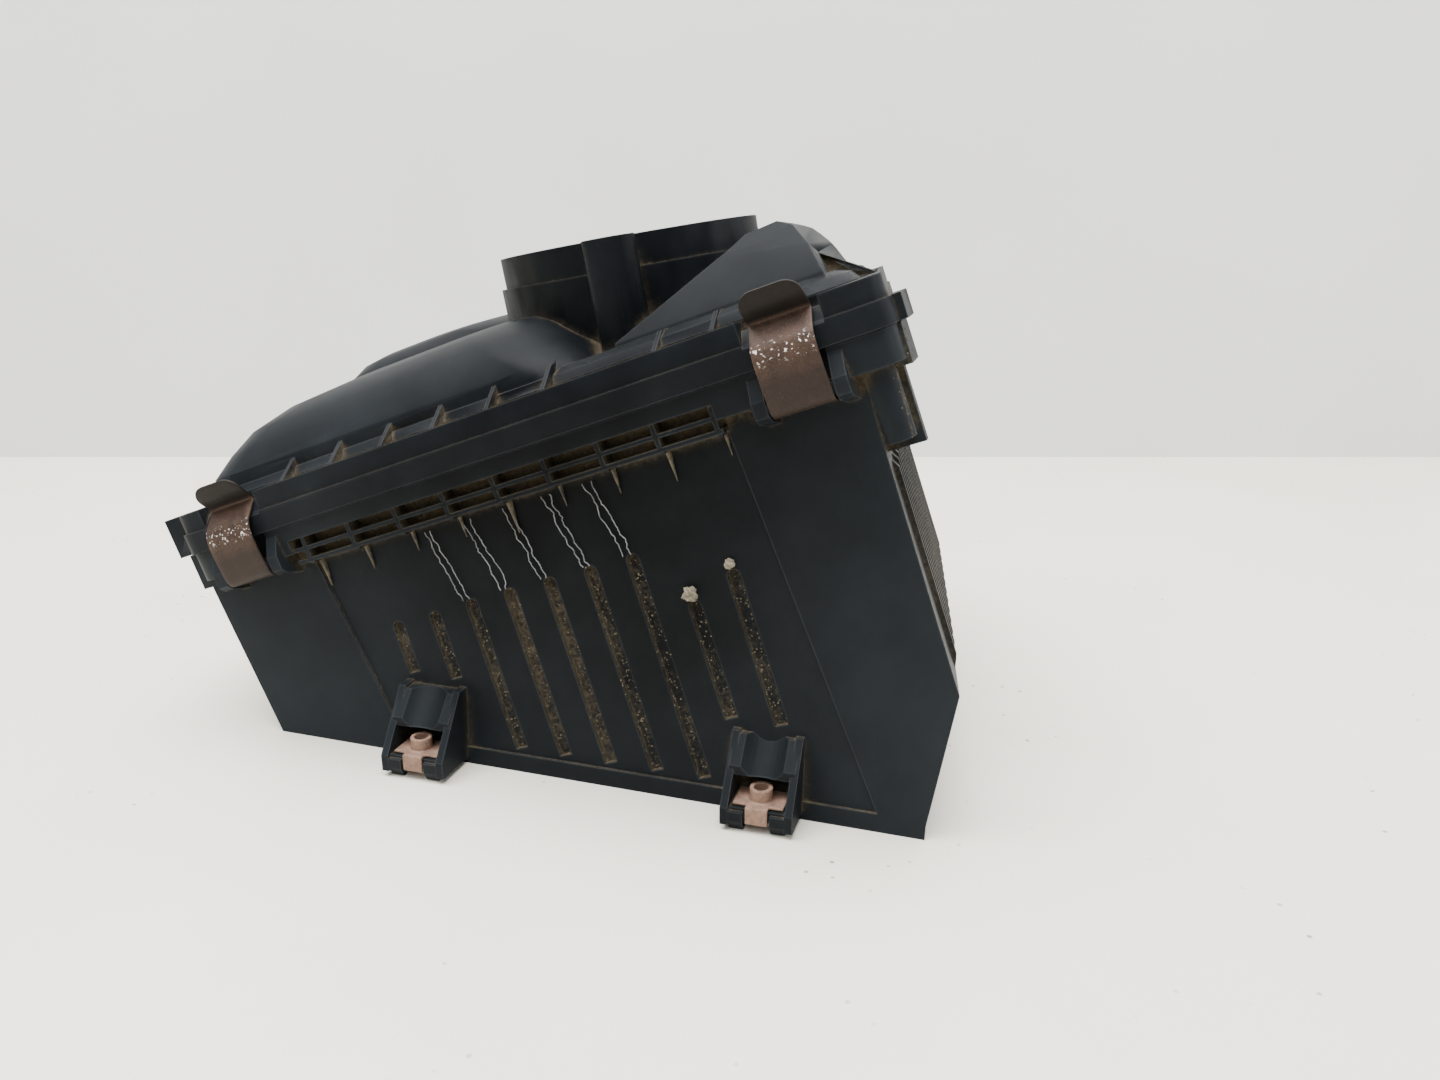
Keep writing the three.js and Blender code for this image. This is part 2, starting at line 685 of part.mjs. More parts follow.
// ---- clips and nuts -----------------------------------------------------------------------------
// Middle line of the sheet, from the end of the curl up to the finger tab.
function clipLine() {
  const line = [];
  for (let i = 0; i <= 12; i += 1) {
    const angle = ((60 - i * 20) * Math.PI) / 180;
    line.push([CURL * Math.cos(angle), CLIP.k + CURL * Math.sin(angle)]);
  }
  const bend = CLIP.hookY + CLIP.seatSlope;
  line.push(
    [-CURL - 0.7, CLIP.k + 5],
    [-CURL - 1.1, -1],
    [-CURL - 0.9, 3],
    [-CURL + 0.3, CLIP.seatSlope - 2.9],
    [-1.4, CLIP.seatSlope - 0.8],
    [CLIP.hookY - 0.8, bend - 0.8],
    [CLIP.hookY - 0.2, bend + 0.3],
    [CLIP.hookY - 0.7, bend + 1.5],
    [0.4, bend + 5.4],
    [-1.5, bend + 9.2],
    [-2.3, bend + 11],
  );
  return line;
}

// Sheet of even thickness on a line, as a closed outline.
function sheetOutline(line, thick) {
  const sides = line.map(([y, k], i) => {
    const [y0, k0] = line[Math.max(i - 1, 0)];
    const [y1, k1] = line[Math.min(i + 1, line.length - 1)];
    const length = Math.hypot(y1 - y0, k1 - k0);
    const turn = [(-(k1 - k0) / length) * (thick / 2), ((y1 - y0) / length) * (thick / 2)];
    return [
      [y + turn[0], k + turn[1]],
      [y - turn[0], k - turn[1]],
    ];
  });
  return sides.map((pair) => pair[0]).concat(sides.map((pair) => pair[1]).reverse());
}

function clip({ s0, atBack }) {
  const outline = sheetOutline(clipLine(), CLIP.thick);
  const strip = prismS(atBack ? mirrored(outline) : outline, s0, s0 + CLIP.width);
  // The finger tab is narrower at its end, with round corners.
  const bend = CLIP.hookY + CLIP.seatSlope;
  const tip = bend + 12;
  const plan = [
    [s0 - 1, -40],
    [s0 + CLIP.width + 1, -40],
    [s0 + CLIP.width + 1, tip - 6.5],
    [s0 + CLIP.width - 1.6, tip - 2.4],
    [s0 + CLIP.width - 5, tip],
    [s0 + 5, tip],
    [s0 + 1.6, tip - 2.4],
    [s0 - 1, tip - 6.5],
  ];
  return strip.intersect(prismY(plan, -30, DEPTH + 30));
}

// Spring nut pushed over the shelf of a base lug, with a drawn threaded barrel.
function clipNut(centre) {
  const top = LUG.shelf + LUG.shelfThick + GAP;
  const low = LUG.shelf - GAP - NUT.sheet;
  const front = -LUG.reach + 1.6 - GAP;
  const upper = [
    [front - NUT.sheet, top],
    [-2.6, top],
    [-2.6, top + NUT.sheet],
    [front - NUT.sheet, top + NUT.sheet],
  ];
  const lower = upper.map(([y, z]) => [y - (y > -5 ? 3 : 0), z - top + low]);
  const strap = [
    [front - NUT.sheet, low],
    [front, low],
    [front, top + NUT.sheet],
    [front - NUT.sheet, top + NUT.sheet],
  ];
  const half = NUT.strap / 2;
  const wide = NUT.leaf / 2;
  const up = new THREE.Vector3(0, 0, 1);
  const hole = new THREE.Vector3(centre, LUG.holeY, 0);
  const wings = upper.map(([y, z]) => [Math.max(y, NUT.back), z]);
  const body = joined([
    prismS(wings, centre - wide, centre + wide),
    prismS(upper, centre - half, centre + half),
    prismS(lower, centre - half, centre + half),
    prismS(strap, centre - half, centre + half),
    rod(NUT.barrel, top, top + NUT.rise, hole, up, 28),
  ]);
  return body.subtract(rod(NUT.bore, -5, 30, hole, up, 24));
}

// ---- filter -------------------------------------------------------------------------------------
function filterSeal() {
  const inner = RIM_WIDTH + SEAL.skirtWidth;
  const rim = prismK(flangeOutline(SEAL.inset + GAP), -SEAL.ledge + GAP, -GAP);
  const skirt = prismK(openingOutline(RIM_WIDTH + GAP), -SEAL.skirt, -GAP);
  return rim.add(skirt).subtract(prismK(openingOutline(inner), -SEAL.skirt - 2, 2));
}

const MEDIA_EDGE = RIM_WIDTH + SEAL.skirtWidth + GAP;
const STRIP = 1.6;

// Paper folded into a zigzag, its folds running from front to back.
function filterMedia() {
  const left = FLANGE_LEFT + MEDIA_EDGE;
  const right = FLANGE_RIGHT - RIGHT_EXTRA - MEDIA_EDGE;
  const half = (right - left) / MEDIA.pleats / 2;
  const slant = MEDIA.thick / 2;
  const upper = [];
  const lower = [];
  for (let i = 0; i <= MEDIA.pleats * 2; i += 1) {
    const s = left + i * half;
    const k = i % 2 ? MEDIA.bottom : MEDIA.top - MEDIA.thick;
    const shift = i === 0 ? slant : i === MEDIA.pleats * 2 ? -slant : 0;
    upper.push([s + shift, k + MEDIA.thick * 4]);
    lower.push([s + shift, k]);
  }
  const zigzag = lower.concat(upper.reverse());
  const front = MEDIA_EDGE + STRIP + GAP;
  const body = prismY(zigzag, front, DEPTH - front, true);
  return body.intersect(block(left - 20, right + 20, 0, DEPTH, MEDIA.bottom - 1, MEDIA.top));
}

// Card strip that closes the pleat ends along one long side.
function filterStrip(atBack) {
  const y0 = atBack ? DEPTH - MEDIA_EDGE - STRIP : MEDIA_EDGE;
  const outline = [
    [FLANGE_LEFT + MEDIA_EDGE + 5, MEDIA.bottom],
    [FLANGE_RIGHT - RIGHT_EXTRA - MEDIA_EDGE - 5, MEDIA.bottom],
    [FLANGE_RIGHT - RIGHT_EXTRA - MEDIA_EDGE - 5, MEDIA.top],
    [FLANGE_LEFT + MEDIA_EDGE + 5, MEDIA.top],
  ];
  return prismY(outline, y0, y0 + STRIP, true);
}

// Bead of glue across the top of the folds.
function pleatBead(share) {
  const y = MEDIA_EDGE + (DEPTH - 2 * MEDIA_EDGE) * share;
  const inset = MEDIA_EDGE + 3;
  const ends = [FLANGE_LEFT + inset, FLANGE_RIGHT - RIGHT_EXTRA - inset].map((s) => taper(s, y));
  const section = [];
  for (let i = 0; i < 8; i += 1) {
    const angle = (i / 8) * 2 * Math.PI;
    section.push([y + 1.3 * Math.cos(angle), MEDIA.top + GAP + 0.45 + 0.45 * Math.sin(angle)]);
  }
  return prismS(section, ends[0], ends[1]);
}

function inletSeal() {
  const point = inletPoint();
  const back = new THREE.Vector3(0, 1, 0);
  const from = DEPTH + INLET.reach - 18;
  const ring = joined([
    rod(INLET.radius + 3.6, from, from + 12, point, back, 56),
    rod(INLET.radius + 5.2, from + 4, from + 8, point, back, 56),
  ]);
  return ring.subtract(rod(INLET.radius + GAP, from - 2, from + 14, point, back, 56));
}

// ---- assembly -----------------------------------------------------------------------------------
const BLACK = 0x2b2e33;
const STEEL = 0x6e5546;

function tilted() {
  const group = new THREE.Group();
  group.name = "tilted";
  const filter = new THREE.Group();
  filter.name = "filter";
  filter.add(meshOf("filter_media", filterMedia(), 0xc9b98f, 0.95));
  filter.add(meshOf("filter_seal", filterSeal(), 0xb4642c, 0.8));
  filter.add(meshOf("filter_strip_front", filterStrip(false), 0xd8d0bc, 0.9));
  filter.add(meshOf("filter_strip_rear", filterStrip(true), 0xd8d0bc, 0.9));
  [0.2, 0.5, 0.8].forEach((share, i) => {
    filter.add(meshOf(`pleat_bead_${i + 1}`, pleatBead(share), 0xe8e0c8, 0.5));
  });
  const clips = new THREE.Group();
  clips.name = "clips";
  for (const place of clipPlaces()) {
    clips.add(meshOf(`clip_${place.name}`, clip(place), STEEL, 0.5, 0.8));
  }
  group.add(meshOf("lower_case", lowerCase(), BLACK));
  group.add(meshOf("upper_cover", upperCover(), BLACK));
  group.add(meshOf("boss_insert_front", bossInsert(-1), 0xb08d4a, 0.4, 1));
  group.add(meshOf("boss_insert_rear", bossInsert(1), 0xb08d4a, 0.4, 1));
  group.add(meshOf("inlet_seal", inletSeal(), 0x1c1c1e, 0.9));
  group.add(filter, clips);
  group.rotation.y = -TILT;
  group.position.z = PLANE_HEIGHT;
  return group;
}

const group = new THREE.Group();
group.name = "air_filter_housing";
const body = new THREE.Group();
body.name = "body";
body.add(tilted());
LUG_CENTRES.forEach((x, i) => {
  body.add(meshOf(`clip_nut_${i ? "right" : "left"}`, clipNut(x), STEEL, 0.5, 0.8));
});
body.updateMatrixWorld(true);
const box = new THREE.Box3().setFromObject(body, true);
body.position.set(-(box.min.x + box.max.x) / 2, -(box.min.y + box.max.y) / 2, -box.min.z);
group.add(body);

export default group;
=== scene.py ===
"""Looks of an air filter housing: a wedge-shaped moulded case and domed cover held by sprung clips.

Lengths in this file are in metres unless a name says millimetres. The flange plane's own coordinates
are s along the housing, y to the back and k square to the plane, in millimetres.
"""

import json
import logging
import math
from dataclasses import dataclass, field
from enum import Enum

import bmesh
import bpy
from mathutils import Euler, Matrix, Vector


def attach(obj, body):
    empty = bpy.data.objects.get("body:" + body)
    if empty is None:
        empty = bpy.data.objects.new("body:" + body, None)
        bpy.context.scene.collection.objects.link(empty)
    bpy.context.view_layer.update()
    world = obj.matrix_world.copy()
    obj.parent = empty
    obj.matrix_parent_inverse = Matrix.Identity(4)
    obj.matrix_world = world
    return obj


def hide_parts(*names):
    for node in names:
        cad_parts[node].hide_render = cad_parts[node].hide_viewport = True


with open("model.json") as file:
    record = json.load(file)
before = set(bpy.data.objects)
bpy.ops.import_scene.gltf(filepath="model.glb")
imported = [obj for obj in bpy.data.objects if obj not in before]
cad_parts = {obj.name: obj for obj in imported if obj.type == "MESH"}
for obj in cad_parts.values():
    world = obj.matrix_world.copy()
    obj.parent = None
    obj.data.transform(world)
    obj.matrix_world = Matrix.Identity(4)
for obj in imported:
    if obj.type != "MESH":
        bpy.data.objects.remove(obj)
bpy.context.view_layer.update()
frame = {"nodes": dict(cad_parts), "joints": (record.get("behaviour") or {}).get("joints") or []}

LOG = logging.getLogger("housing")
MM = 0.001


# ---- small tools ----
def linear(code: str) -> tuple[float, float, float, float]:
    """Turns an sRGB colour such as "#2b2e33" into linear light.

    Args:
        code: six hex digits after a hash.

    Returns:
        Red, green, blue and a full alpha.
    """
    parts = [int(code[i:i + 2], 16) / 255 for i in (1, 3, 5)]
    toned = [c / 12.92 if c <= 0.04045 else ((c + 0.055) / 1.055) ** 2.4 for c in parts]
    return (toned[0], toned[1], toned[2], 1.0)


def add_node(tree: bpy.types.NodeTree, kind: str, settings: dict | None = None,
             inputs: dict | None = None) -> bpy.types.Node:
    """Adds a node with its settings and links.

    Args:
        tree: the node tree it goes in.
        kind: the node's type name.
        settings: attributes of the node.
        inputs: input names or places, each with a value or an output socket.

    Returns:
        The new node.
    """
    node = tree.nodes.new(kind)
    for name, value in (settings or {}).items():
        setattr(node, name, value)
    for key, value in (inputs or {}).items():
        if isinstance(value, bpy.types.NodeSocket):
            tree.links.new(value, node.inputs[key])
        else:
            node.inputs[key].default_value = value
    return node


def new_object(name: str, mesh: bpy.types.Mesh) -> bpy.types.Object:
    """Links a mesh into the scene as an object at the origin."""
    made = bpy.data.objects.new(name, mesh)
    bpy.context.scene.collection.objects.link(made)
    return made


def mesh_of(name: str, points: list, faces: list) -> bpy.types.Mesh:
    """Makes a mesh with smooth faces from points and faces."""
    mesh = bpy.data.meshes.new(name)
    mesh.from_pydata([tuple(p) for p in points], [], faces)
    mesh.validate()
    mesh.polygons.foreach_set("use_smooth", [True] * len(mesh.polygons))
    mesh.update()
    return mesh


def settled(made: bpy.types.Object) -> bpy.types.Object:
    """Turns an object's modifiers into plain mesh.

    Args:
        made: an object with live modifiers.

    Returns:
        The same object, with its modifiers gone and their result as its mesh.
    """
    graph = bpy.context.evaluated_depsgraph_get()
    result = bpy.data.meshes.new_from_object(made.evaluated_get(graph), depsgraph=graph)
    made.modifiers.clear()
    made.data = result
    result.name = made.name
    return made


def soften(mesh: bpy.types.Mesh, degrees: float) -> None:
    """Shades a mesh smooth, with edges sharper than an angle kept crisp."""
    mesh.polygons.foreach_set("use_smooth", [True] * len(mesh.polygons))
    mesh.set_sharp_from_angle(angle=math.radians(degrees))


def geometry_tree(name: str, inputs: dict[str, str]) -> tuple[bpy.types.NodeTree, bpy.types.Node]:
    """Starts a Geometry Nodes tree with named inputs.

    Args:
        name: the tree's name.
        inputs: each input's label and the kind of its socket, such as "Float".

    Returns:
        The tree and the node that hands its inputs out.
    """
    tree = bpy.data.node_groups.new(name, "GeometryNodeTree")
    tree.interface.new_socket("Geometry", in_out="OUTPUT", socket_type="NodeSocketGeometry")
    for label, kind in {**inputs, "Material": "Material"}.items():
        tree.interface.new_socket(label, in_out="INPUT", socket_type=f"NodeSocket{kind}")
    return tree, add_node(tree, "NodeGroupInput")


def end_tree(tree: bpy.types.NodeTree, given: bpy.types.Node, shape: bpy.types.NodeSocket) -> None:
    """Ends a tree: its instances are made real and given their material."""
    real = add_node(tree, "GeometryNodeRealizeInstances", None, {0: shape})
    dressed = add_node(tree, "GeometryNodeSetMaterial", None, {
        "Geometry": real.outputs[0], "Material": given.outputs["Material"]})
    add_node(tree, "NodeGroupOutput", None, {0: dressed.outputs[0]})


def grow(name: str, tree: bpy.types.NodeTree, values: dict, start: bpy.types.Mesh | None = None,
         sheet_mm: float = 0.0) -> bpy.types.Object:
    """Runs a tree and leaves its result as plain mesh in the row frame.

    Args:
        name: the new object's name.
        tree: a Geometry Nodes tree that works in the flange plane's coordinates, in metres.
        values: each input's label and value.
        start: the mesh the tree works on, if it takes one.
        sheet_mm: how thick to make a result that is a bare surface.

    Returns:
        The new object.
    """
    piece = new_object(name, start or bpy.data.meshes.new(name))
    run = piece.modifiers.new("grow", "NODES")
    run.node_group = tree
    for item in tree.interface.items_tree:
        if item.item_type == "SOCKET" and item.in_out == "INPUT" and item.name in values:
            run[item.identifier] = values[item.name]
    if sheet_mm:
        wall = piece.modifiers.new("sheet", "SOLIDIFY")
        wall.thickness = sheet_mm * MM
        wall.offset = 0.0
    settled(piece)
    soften(piece.data, 40)
    piece.data.transform(PLANE.matrix())
    LOG.info("%s: %d faces", name, len(piece.data.polygons))
    return piece


def plane_points(node: str) -> list[Vector]:
    """Gives the corners of a solid of the frame in the flange plane's millimetres."""
    flat = PLANE.matrix().inverted()
    return [flat @ v.co / MM for v in frame["nodes"][node].data.vertices]


# ---- the flange plane ----
@dataclass(frozen=True)
class FlangePlane:
    """The sloping plane the cover and case meet in, found from the frame's joints."""

    origin: Vector
    along: Vector
    square: Vector

    clip_s = 21.75
    clip_k = -13.5

    @classmethod
    def from_frame(cls) -> "FlangePlane":
        """Reads the plane from the cover's lift and the front left clip's pivot."""
        joints = {j["name"]: j for j in frame["joints"]}
        square = Vector(joints["cover_lift"]["axis"]).normalized()
        along = Vector((0, 1, 0)).cross(square).normalized()
        pivot = Vector(joints["clip_front_left_swing"]["pos_m"])
        origin = pivot - along * cls.clip_s * MM - square * cls.clip_k * MM
        return cls(origin, along, square)

    def point(self, s: float, y: float, k: float) -> Vector:
        """Gives the place in the row frame of a point in the plane's own millimetres."""
        return self.origin + (self.along * s + Vector((0, 1, 0)) * y + self.square * k) * MM

    def matrix(self) -> Matrix:
        """Gives the turn and shift from the plane's coordinates, in metres, to the row frame."""
        turn = Matrix((self.along, Vector((0, 1, 0)), self.square)).transposed().to_4x4()
        return Matrix.Translation(self.origin) @ turn

    @property
    def tilt(self) -> float:
        """The plane's slope in radians."""
        return math.atan2(self.along.z, self.along.x)


PLANE = FlangePlane.from_frame()


@dataclass(frozen=True)
class FrontWall:
    """The case's front wall in the flange plane's millimetres, and the rows of features along it."""

    surface: float = 10.3
    lean: float = 0.0805
    groove_first: float = 72.47
    groove_pitch: float = 18.1
    rib_first: float = 49.0
    rib_pitch: float = 22.75
    ribs: int = 9
    rail: float = -18.0  # height of the rib grid's lower rail

    def spot(self, s: float, k: float, out: float = 0.0) -> tuple[float, float, float]:
        """Gives a place on the wall in metres, with a shift outwards in millimetres."""
        return (s * MM, (self.surface + self.lean * k - out) * MM, k * MM)

    @property
    def down(self) -> float:
        """The turn about s that lays an upright piece down the wall."""
        return math.pi - math.atan(self.lean)

    def depth(self, tree: bpy.types.NodeTree, at: bpy.types.Node) -> bpy.types.NodeSocket:
        """Adds how far a place, split into its coordinates, lies behind the wall's surface."""
        skin = add_node(tree, "ShaderNodeMath", {"operation": "MULTIPLY_ADD"}, {
            0: at.outputs[2], 1: -self.lean, 2: -self.surface * MM})
        return add_node(tree, "ShaderNodeMath", {"operation": "ADD"}, {
            0: at.outputs[1], 1: skin.outputs[0]}).outputs[0]


WALL = FrontWall()


# ---- finishes ----
def start_material(name: str) -> tuple[bpy.types.Material, bpy.types.NodeTree, bpy.types.Node]:
    """Makes an empty material with a shader wired to its output.

    Args:
        name: the material's name.

    Returns:
        The material, its tree and its Principled shader.
    """
    material = bpy.data.materials.new(name)
    material.use_nodes = True
    tree = material.node_tree
    tree.nodes.clear()
    shader = add_node(tree, "ShaderNodeBsdfPrincipled")
    add_node(tree, "ShaderNodeOutputMaterial", inputs={"Surface": shader.outputs[0]})
    return material, tree, shader


def in_plane(tree: bpy.types.NodeTree) -> bpy.types.NodeSocket:
    """Adds the flange plane's coordinates, in metres, and gives their socket."""
    place = add_node(tree, "ShaderNodeTexCoord")
    shift = PLANE.matrix().inverted().translation
    turned = add_node(tree, "ShaderNodeMapping", {"vector_type": "POINT"}, {
        "Vector": place.outputs["Object"], "Location": shift, "Rotation": Euler((0, PLANE.tilt, 0))})
    return turned.outputs[0]


@dataclass(frozen=True)
class MouldedPlastic:
    """Injection-moulded black polypropylene: fine spark-eroded grain, greyed by age and road dust, and paler
    towards its foot, partly as painted light.

    The dull blue-black skin keeps a soft sheen where it was wiped, and tan dust packs into recesses. Its
    edges are painted pale: partly wear, partly painted highlight.
    """

    name: str
    base: str = "#060708"
    bloom_and_painted_light: str = "#2a2f33"
    dust: str = "#6f6450"
    grooved: bool = False
    settled: float = 0.55  # how much dust lies on what faces up
    grain_mm: float = 0.9  # real grain is about 0.2 mm, too fine to show
    patch_mm: float = 38.0
    crumb_mm: float = 1.6
    reach_mm: float = 9.0  # how deep a recess has to be to hold dust
    paling_middle_mm: float = 165.0  # where along the housing the paling is least
    end_paling: float = 0.4
    # paler towards the foot: partly dust, partly painted light for the floor's bounce low down and the
    # flange's shade above
    foot_haze_and_painted_light: float = 0.2

    def build(self) -> bpy.types.Material:
        """Builds the material."""
        material, tree, shader = start_material(self.name)
        place = in_plane(tree)
        patches, crumbs, grain = (add_node(tree, "ShaderNodeTexNoise", None, {
            "Vector": place, "Scale": 1 / (size * MM), "Detail": detail, "Roughness": rough})
            for size, detail, rough in (
                (self.patch_mm, 5.0, 0.6), (self.crumb_mm, 4.0, 0.7), (self.grain_mm, 2.0, 0.5)))
        dusty = self.dust_share(tree, place, patches.outputs[0], crumbs.outputs[0])
        hazy = add_node(tree, "ShaderNodeMapRange", None, {
            "Value": patches.outputs[0], "From Min": 0.35, "From Max": 0.75,
            "To Min": 0.02, "To Max": 0.18})
        # The pale grey mixed in here is partly dust and partly painted light, paler towards the foot.
        skin = add_node(tree, "ShaderNodeMix", {"data_type": "RGBA"}, {
            0: self.haze_and_painted_light_share(tree, place, hazy.outputs[0]), 6: linear(self.base),
            7: linear(self.bloom_and_painted_light)})
        # Edges painted pale grey: partly wear from handling, partly painted highlight where rounded edges
        # catch the light.
        worn_and_highlit = self.edge_wear_and_highlight_share(tree, patches.outputs[0])
        scuffed_and_highlit = add_node(tree, "ShaderNodeMix", {"data_type": "RGBA"}, {
            0: worn_and_highlit, 6: skin.outputs[2], 7: linear("#4c5054")})
        tone = add_node(tree, "ShaderNodeMix", {"data_type": "RGBA"}, {
            0: crumbs.outputs[0], 6: linear("#2f2a20"), 7: linear(self.dust)})
        coloured = add_node(tree, "ShaderNodeMix", {"data_type": "RGBA"}, {
            0: dusty, 6: scuffed_and_highlit.outputs[2], 7: tone.outputs[2]})
        rough = add_node(tree, "ShaderNodeMapRange", None, {
            "Value": dusty, "From Min": 0.0, "From Max": 1.0, "To Min": 0.47, "To Max": 0.95})
        height = add_node(tree, "ShaderNodeMath", {"operation": "MULTIPLY"}, {
            0: crumbs.outputs[0], 1: dusty})
        fine = add_node(tree, "ShaderNodeBump", None, {
            "Height": grain.outputs[0], "Strength": 0.12, "Distance": 0.1 * MM})
        lumpy = add_node(tree, "ShaderNodeBump", None, {
            "Height": height.outputs[0], "Strength": 0.8, "Distance": 0.5 * MM,
            "Normal": fine.outputs[0]})
        tree.links.new(coloured.outputs[2], shader.inputs["Base Color"])
        tree.links.new(rough.outputs[0], shader.inputs["Roughness"])
        tree.links.new(lumpy.outputs[0], shader.inputs["Normal"])
        shader.inputs["IOR"].default_value = 1.49
        shader.inputs["Specular IOR Level"].default_value = 0.05
        return material

    def haze_and_painted_light_share(self, tree: bpy.types.NodeTree, place: bpy.types.NodeSocket,
                   patchy: bpy.types.NodeSocket) -> bpy.types.NodeSocket:
        """Adds the pale haze in patches and a paling towards the housing's ends and its foot; the paling
        towards the foot is partly dust and partly painted light, lighter low down where the floor bounces
        light up and darker under the flange's overhang.
        """
        at = add_node(tree, "ShaderNodeSeparateXYZ", None, {0: place})
        off = add_node(tree, "ShaderNodeMath", {"operation": "SUBTRACT"}, {
            0: at.outputs[0], 1: self.paling_middle_mm * MM})
        away = add_node(tree, "ShaderNodeMath", {"operation": "ABSOLUTE"}, {0: off.outputs[0]})
        ends = add_node(tree, "ShaderNodeMapRange", None, {
            "Value": away.outputs[0], "From Min": 0.04, "From Max": 0.16, "To Max": self.end_paling})
        # Paler towards the foot: partly dust, partly painted light standing in for floor bounce below and
        # flange shade above.
        foot = add_node(tree, "ShaderNodeMapRange", None, {
            "Value": at.outputs[2], "From Min": -0.05, "From Max": -0.14, "To Max": self.foot_haze_and_painted_light})
        both = add_node(tree, "ShaderNodeMath", {"operation": "ADD"}, {
            0: ends.outputs[0], 1: foot.outputs[0]})
        return add_node(tree, "ShaderNodeMath", {"operation": "ADD", "use_clamp": True}, {
            0: both.outputs[0], 1: patchy}).outputs[0]

    def dust_share(self, tree: bpy.types.NodeTree, place: bpy.types.NodeSocket,
                   patches: bpy.types.NodeSocket, crumbs: bpy.types.NodeSocket) -> bpy.types.NodeSocket:
        """Adds the share of the skin that dust hides.

        Args:
            tree: the material's tree.
            place: coordinates in the flange plane.
            patches: slow noise that gathers dust in places.
            crumbs: fine noise that breaks its edge up.

        Returns:
            A socket from 0, clean, to 1, covered.
        """
        open_share = add_node(tree, "ShaderNodeAmbientOcclusion", {"samples": 6, "only_local": True}, {
            "Distance": self.reach_mm * MM})
        recess = add_node(tree, "ShaderNodeMapRange", None, {
            "Value": open_share.outputs["AO"], "From Min": 0.66, "From Max": 0.25,
            "To Min": 0.0, "To Max": 0.9})
        facing = add_node(tree, "ShaderNodeNewGeometry")
        parts = add_node(tree, "ShaderNodeSeparateXYZ", None, {0: facing.outputs["Normal"]})
        upward = add_node(tree, "ShaderNodeMapRange", None, {
            "Value": parts.outputs[2], "From Min": 0.25, "From Max": 1.0,
            "To Min": 0.0, "To Max": self.settled})
        lifted = add_node(tree, "ShaderNodeMath", {"operation": "MULTIPLY_ADD"}, {
            0: upward.outputs[0], 1: recess.outputs[0], 2: recess.outputs[0]})
        total = lifted.outputs[0]
        if self.grooved:
            floor = self.groove_floor(tree, place)
            total = add_node(tree, "ShaderNodeMath", {"operation": "MAXIMUM"}, {
                0: total, 1: floor}).outputs[0]
        uneven = add_node(tree, "ShaderNodeMath", {"operation": "MULTIPLY_ADD"}, {
            0: patches, 1: 0.9, 2: -0.45})
        broken = add_node(tree, "ShaderNodeMath", {"operation": "MULTIPLY_ADD"}, {
            0: crumbs, 1: 0.8, 2: -0.4})
        shift = add_node(tree, "ShaderNodeMath", {"operation": "ADD"}, {
            0: uneven.outputs[0], 1: broken.outputs[0]})
        mixed = add_node(tree, "ShaderNodeMath", {"operation": "ADD"}, {
            0: total, 1: shift.outputs[0]})
        share = add_node(tree, "ShaderNodeMapRange", {"interpolation_type": "SMOOTHSTEP"}, {
            "Value": mixed.outputs[0], "From Min": 0.22, "From Max": 0.85,
            "To Min": 0.0, "To Max": 0.86})
        return share.outputs[0]

    def groove_floor(self, tree: bpy.types.NodeTree, place: bpy.types.NodeSocket) -> bpy.types.NodeSocket:
        """Adds a mask of the floors of the grooves sunk into the front wall."""
        deep = WALL.depth(tree, add_node(tree, "ShaderNodeSeparateXYZ", None, {0: place}))
        sunk = add_node(tree, "ShaderNodeMapRange", None, {
            "Value": deep, "From Min": 2.2 * MM, "From Max": 3.2 * MM,
            "To Min": 0.0, "To Max": 0.36})
        inner = add_node(tree, "ShaderNodeMapRange", None, {
            "Value": deep, "From Min": 4.0 * MM, "From Max": 4.6 * MM,
            "To Min": 1.0, "To Max": 0.0})
        return add_node(tree, "ShaderNodeMath", {"operation": "MULTIPLY"}, {
            0: sunk.outputs[0], 1: inner.outputs[0]}).outputs[0]

    def edge_wear_and_highlight_share(self, tree: bpy.types.NodeTree, patches: bpy.types.NodeSocket) -> bpy.types.NodeSocket:
        """Adds the share of the skin painted pale along its edges: partly wear from handling, partly painted
        highlight where rounded edges catch the light.
        """
        round_off = add_node(tree, "ShaderNodeBevel", {"samples": 4}, {"Radius": 0.9 * MM})
        facing = add_node(tree, "ShaderNodeNewGeometry")
        agree = add_node(tree, "ShaderNodeVectorMath", {"operation": "DOT_PRODUCT"}, {
            0: round_off.outputs[0], 1: facing.outputs["Normal"]})
        edge = add_node(tree, "ShaderNodeMapRange", None, {
            "Value": agree.outputs["Value"], "From Min": 0.995, "From Max": 0.86,
            "To Min": 0.0, "To Max": 0.55})
        return add_node(tree, "ShaderNodeMath", {"operation": "MULTIPLY"}, {
            0: edge.outputs[0], 1: patches}).outputs[0]


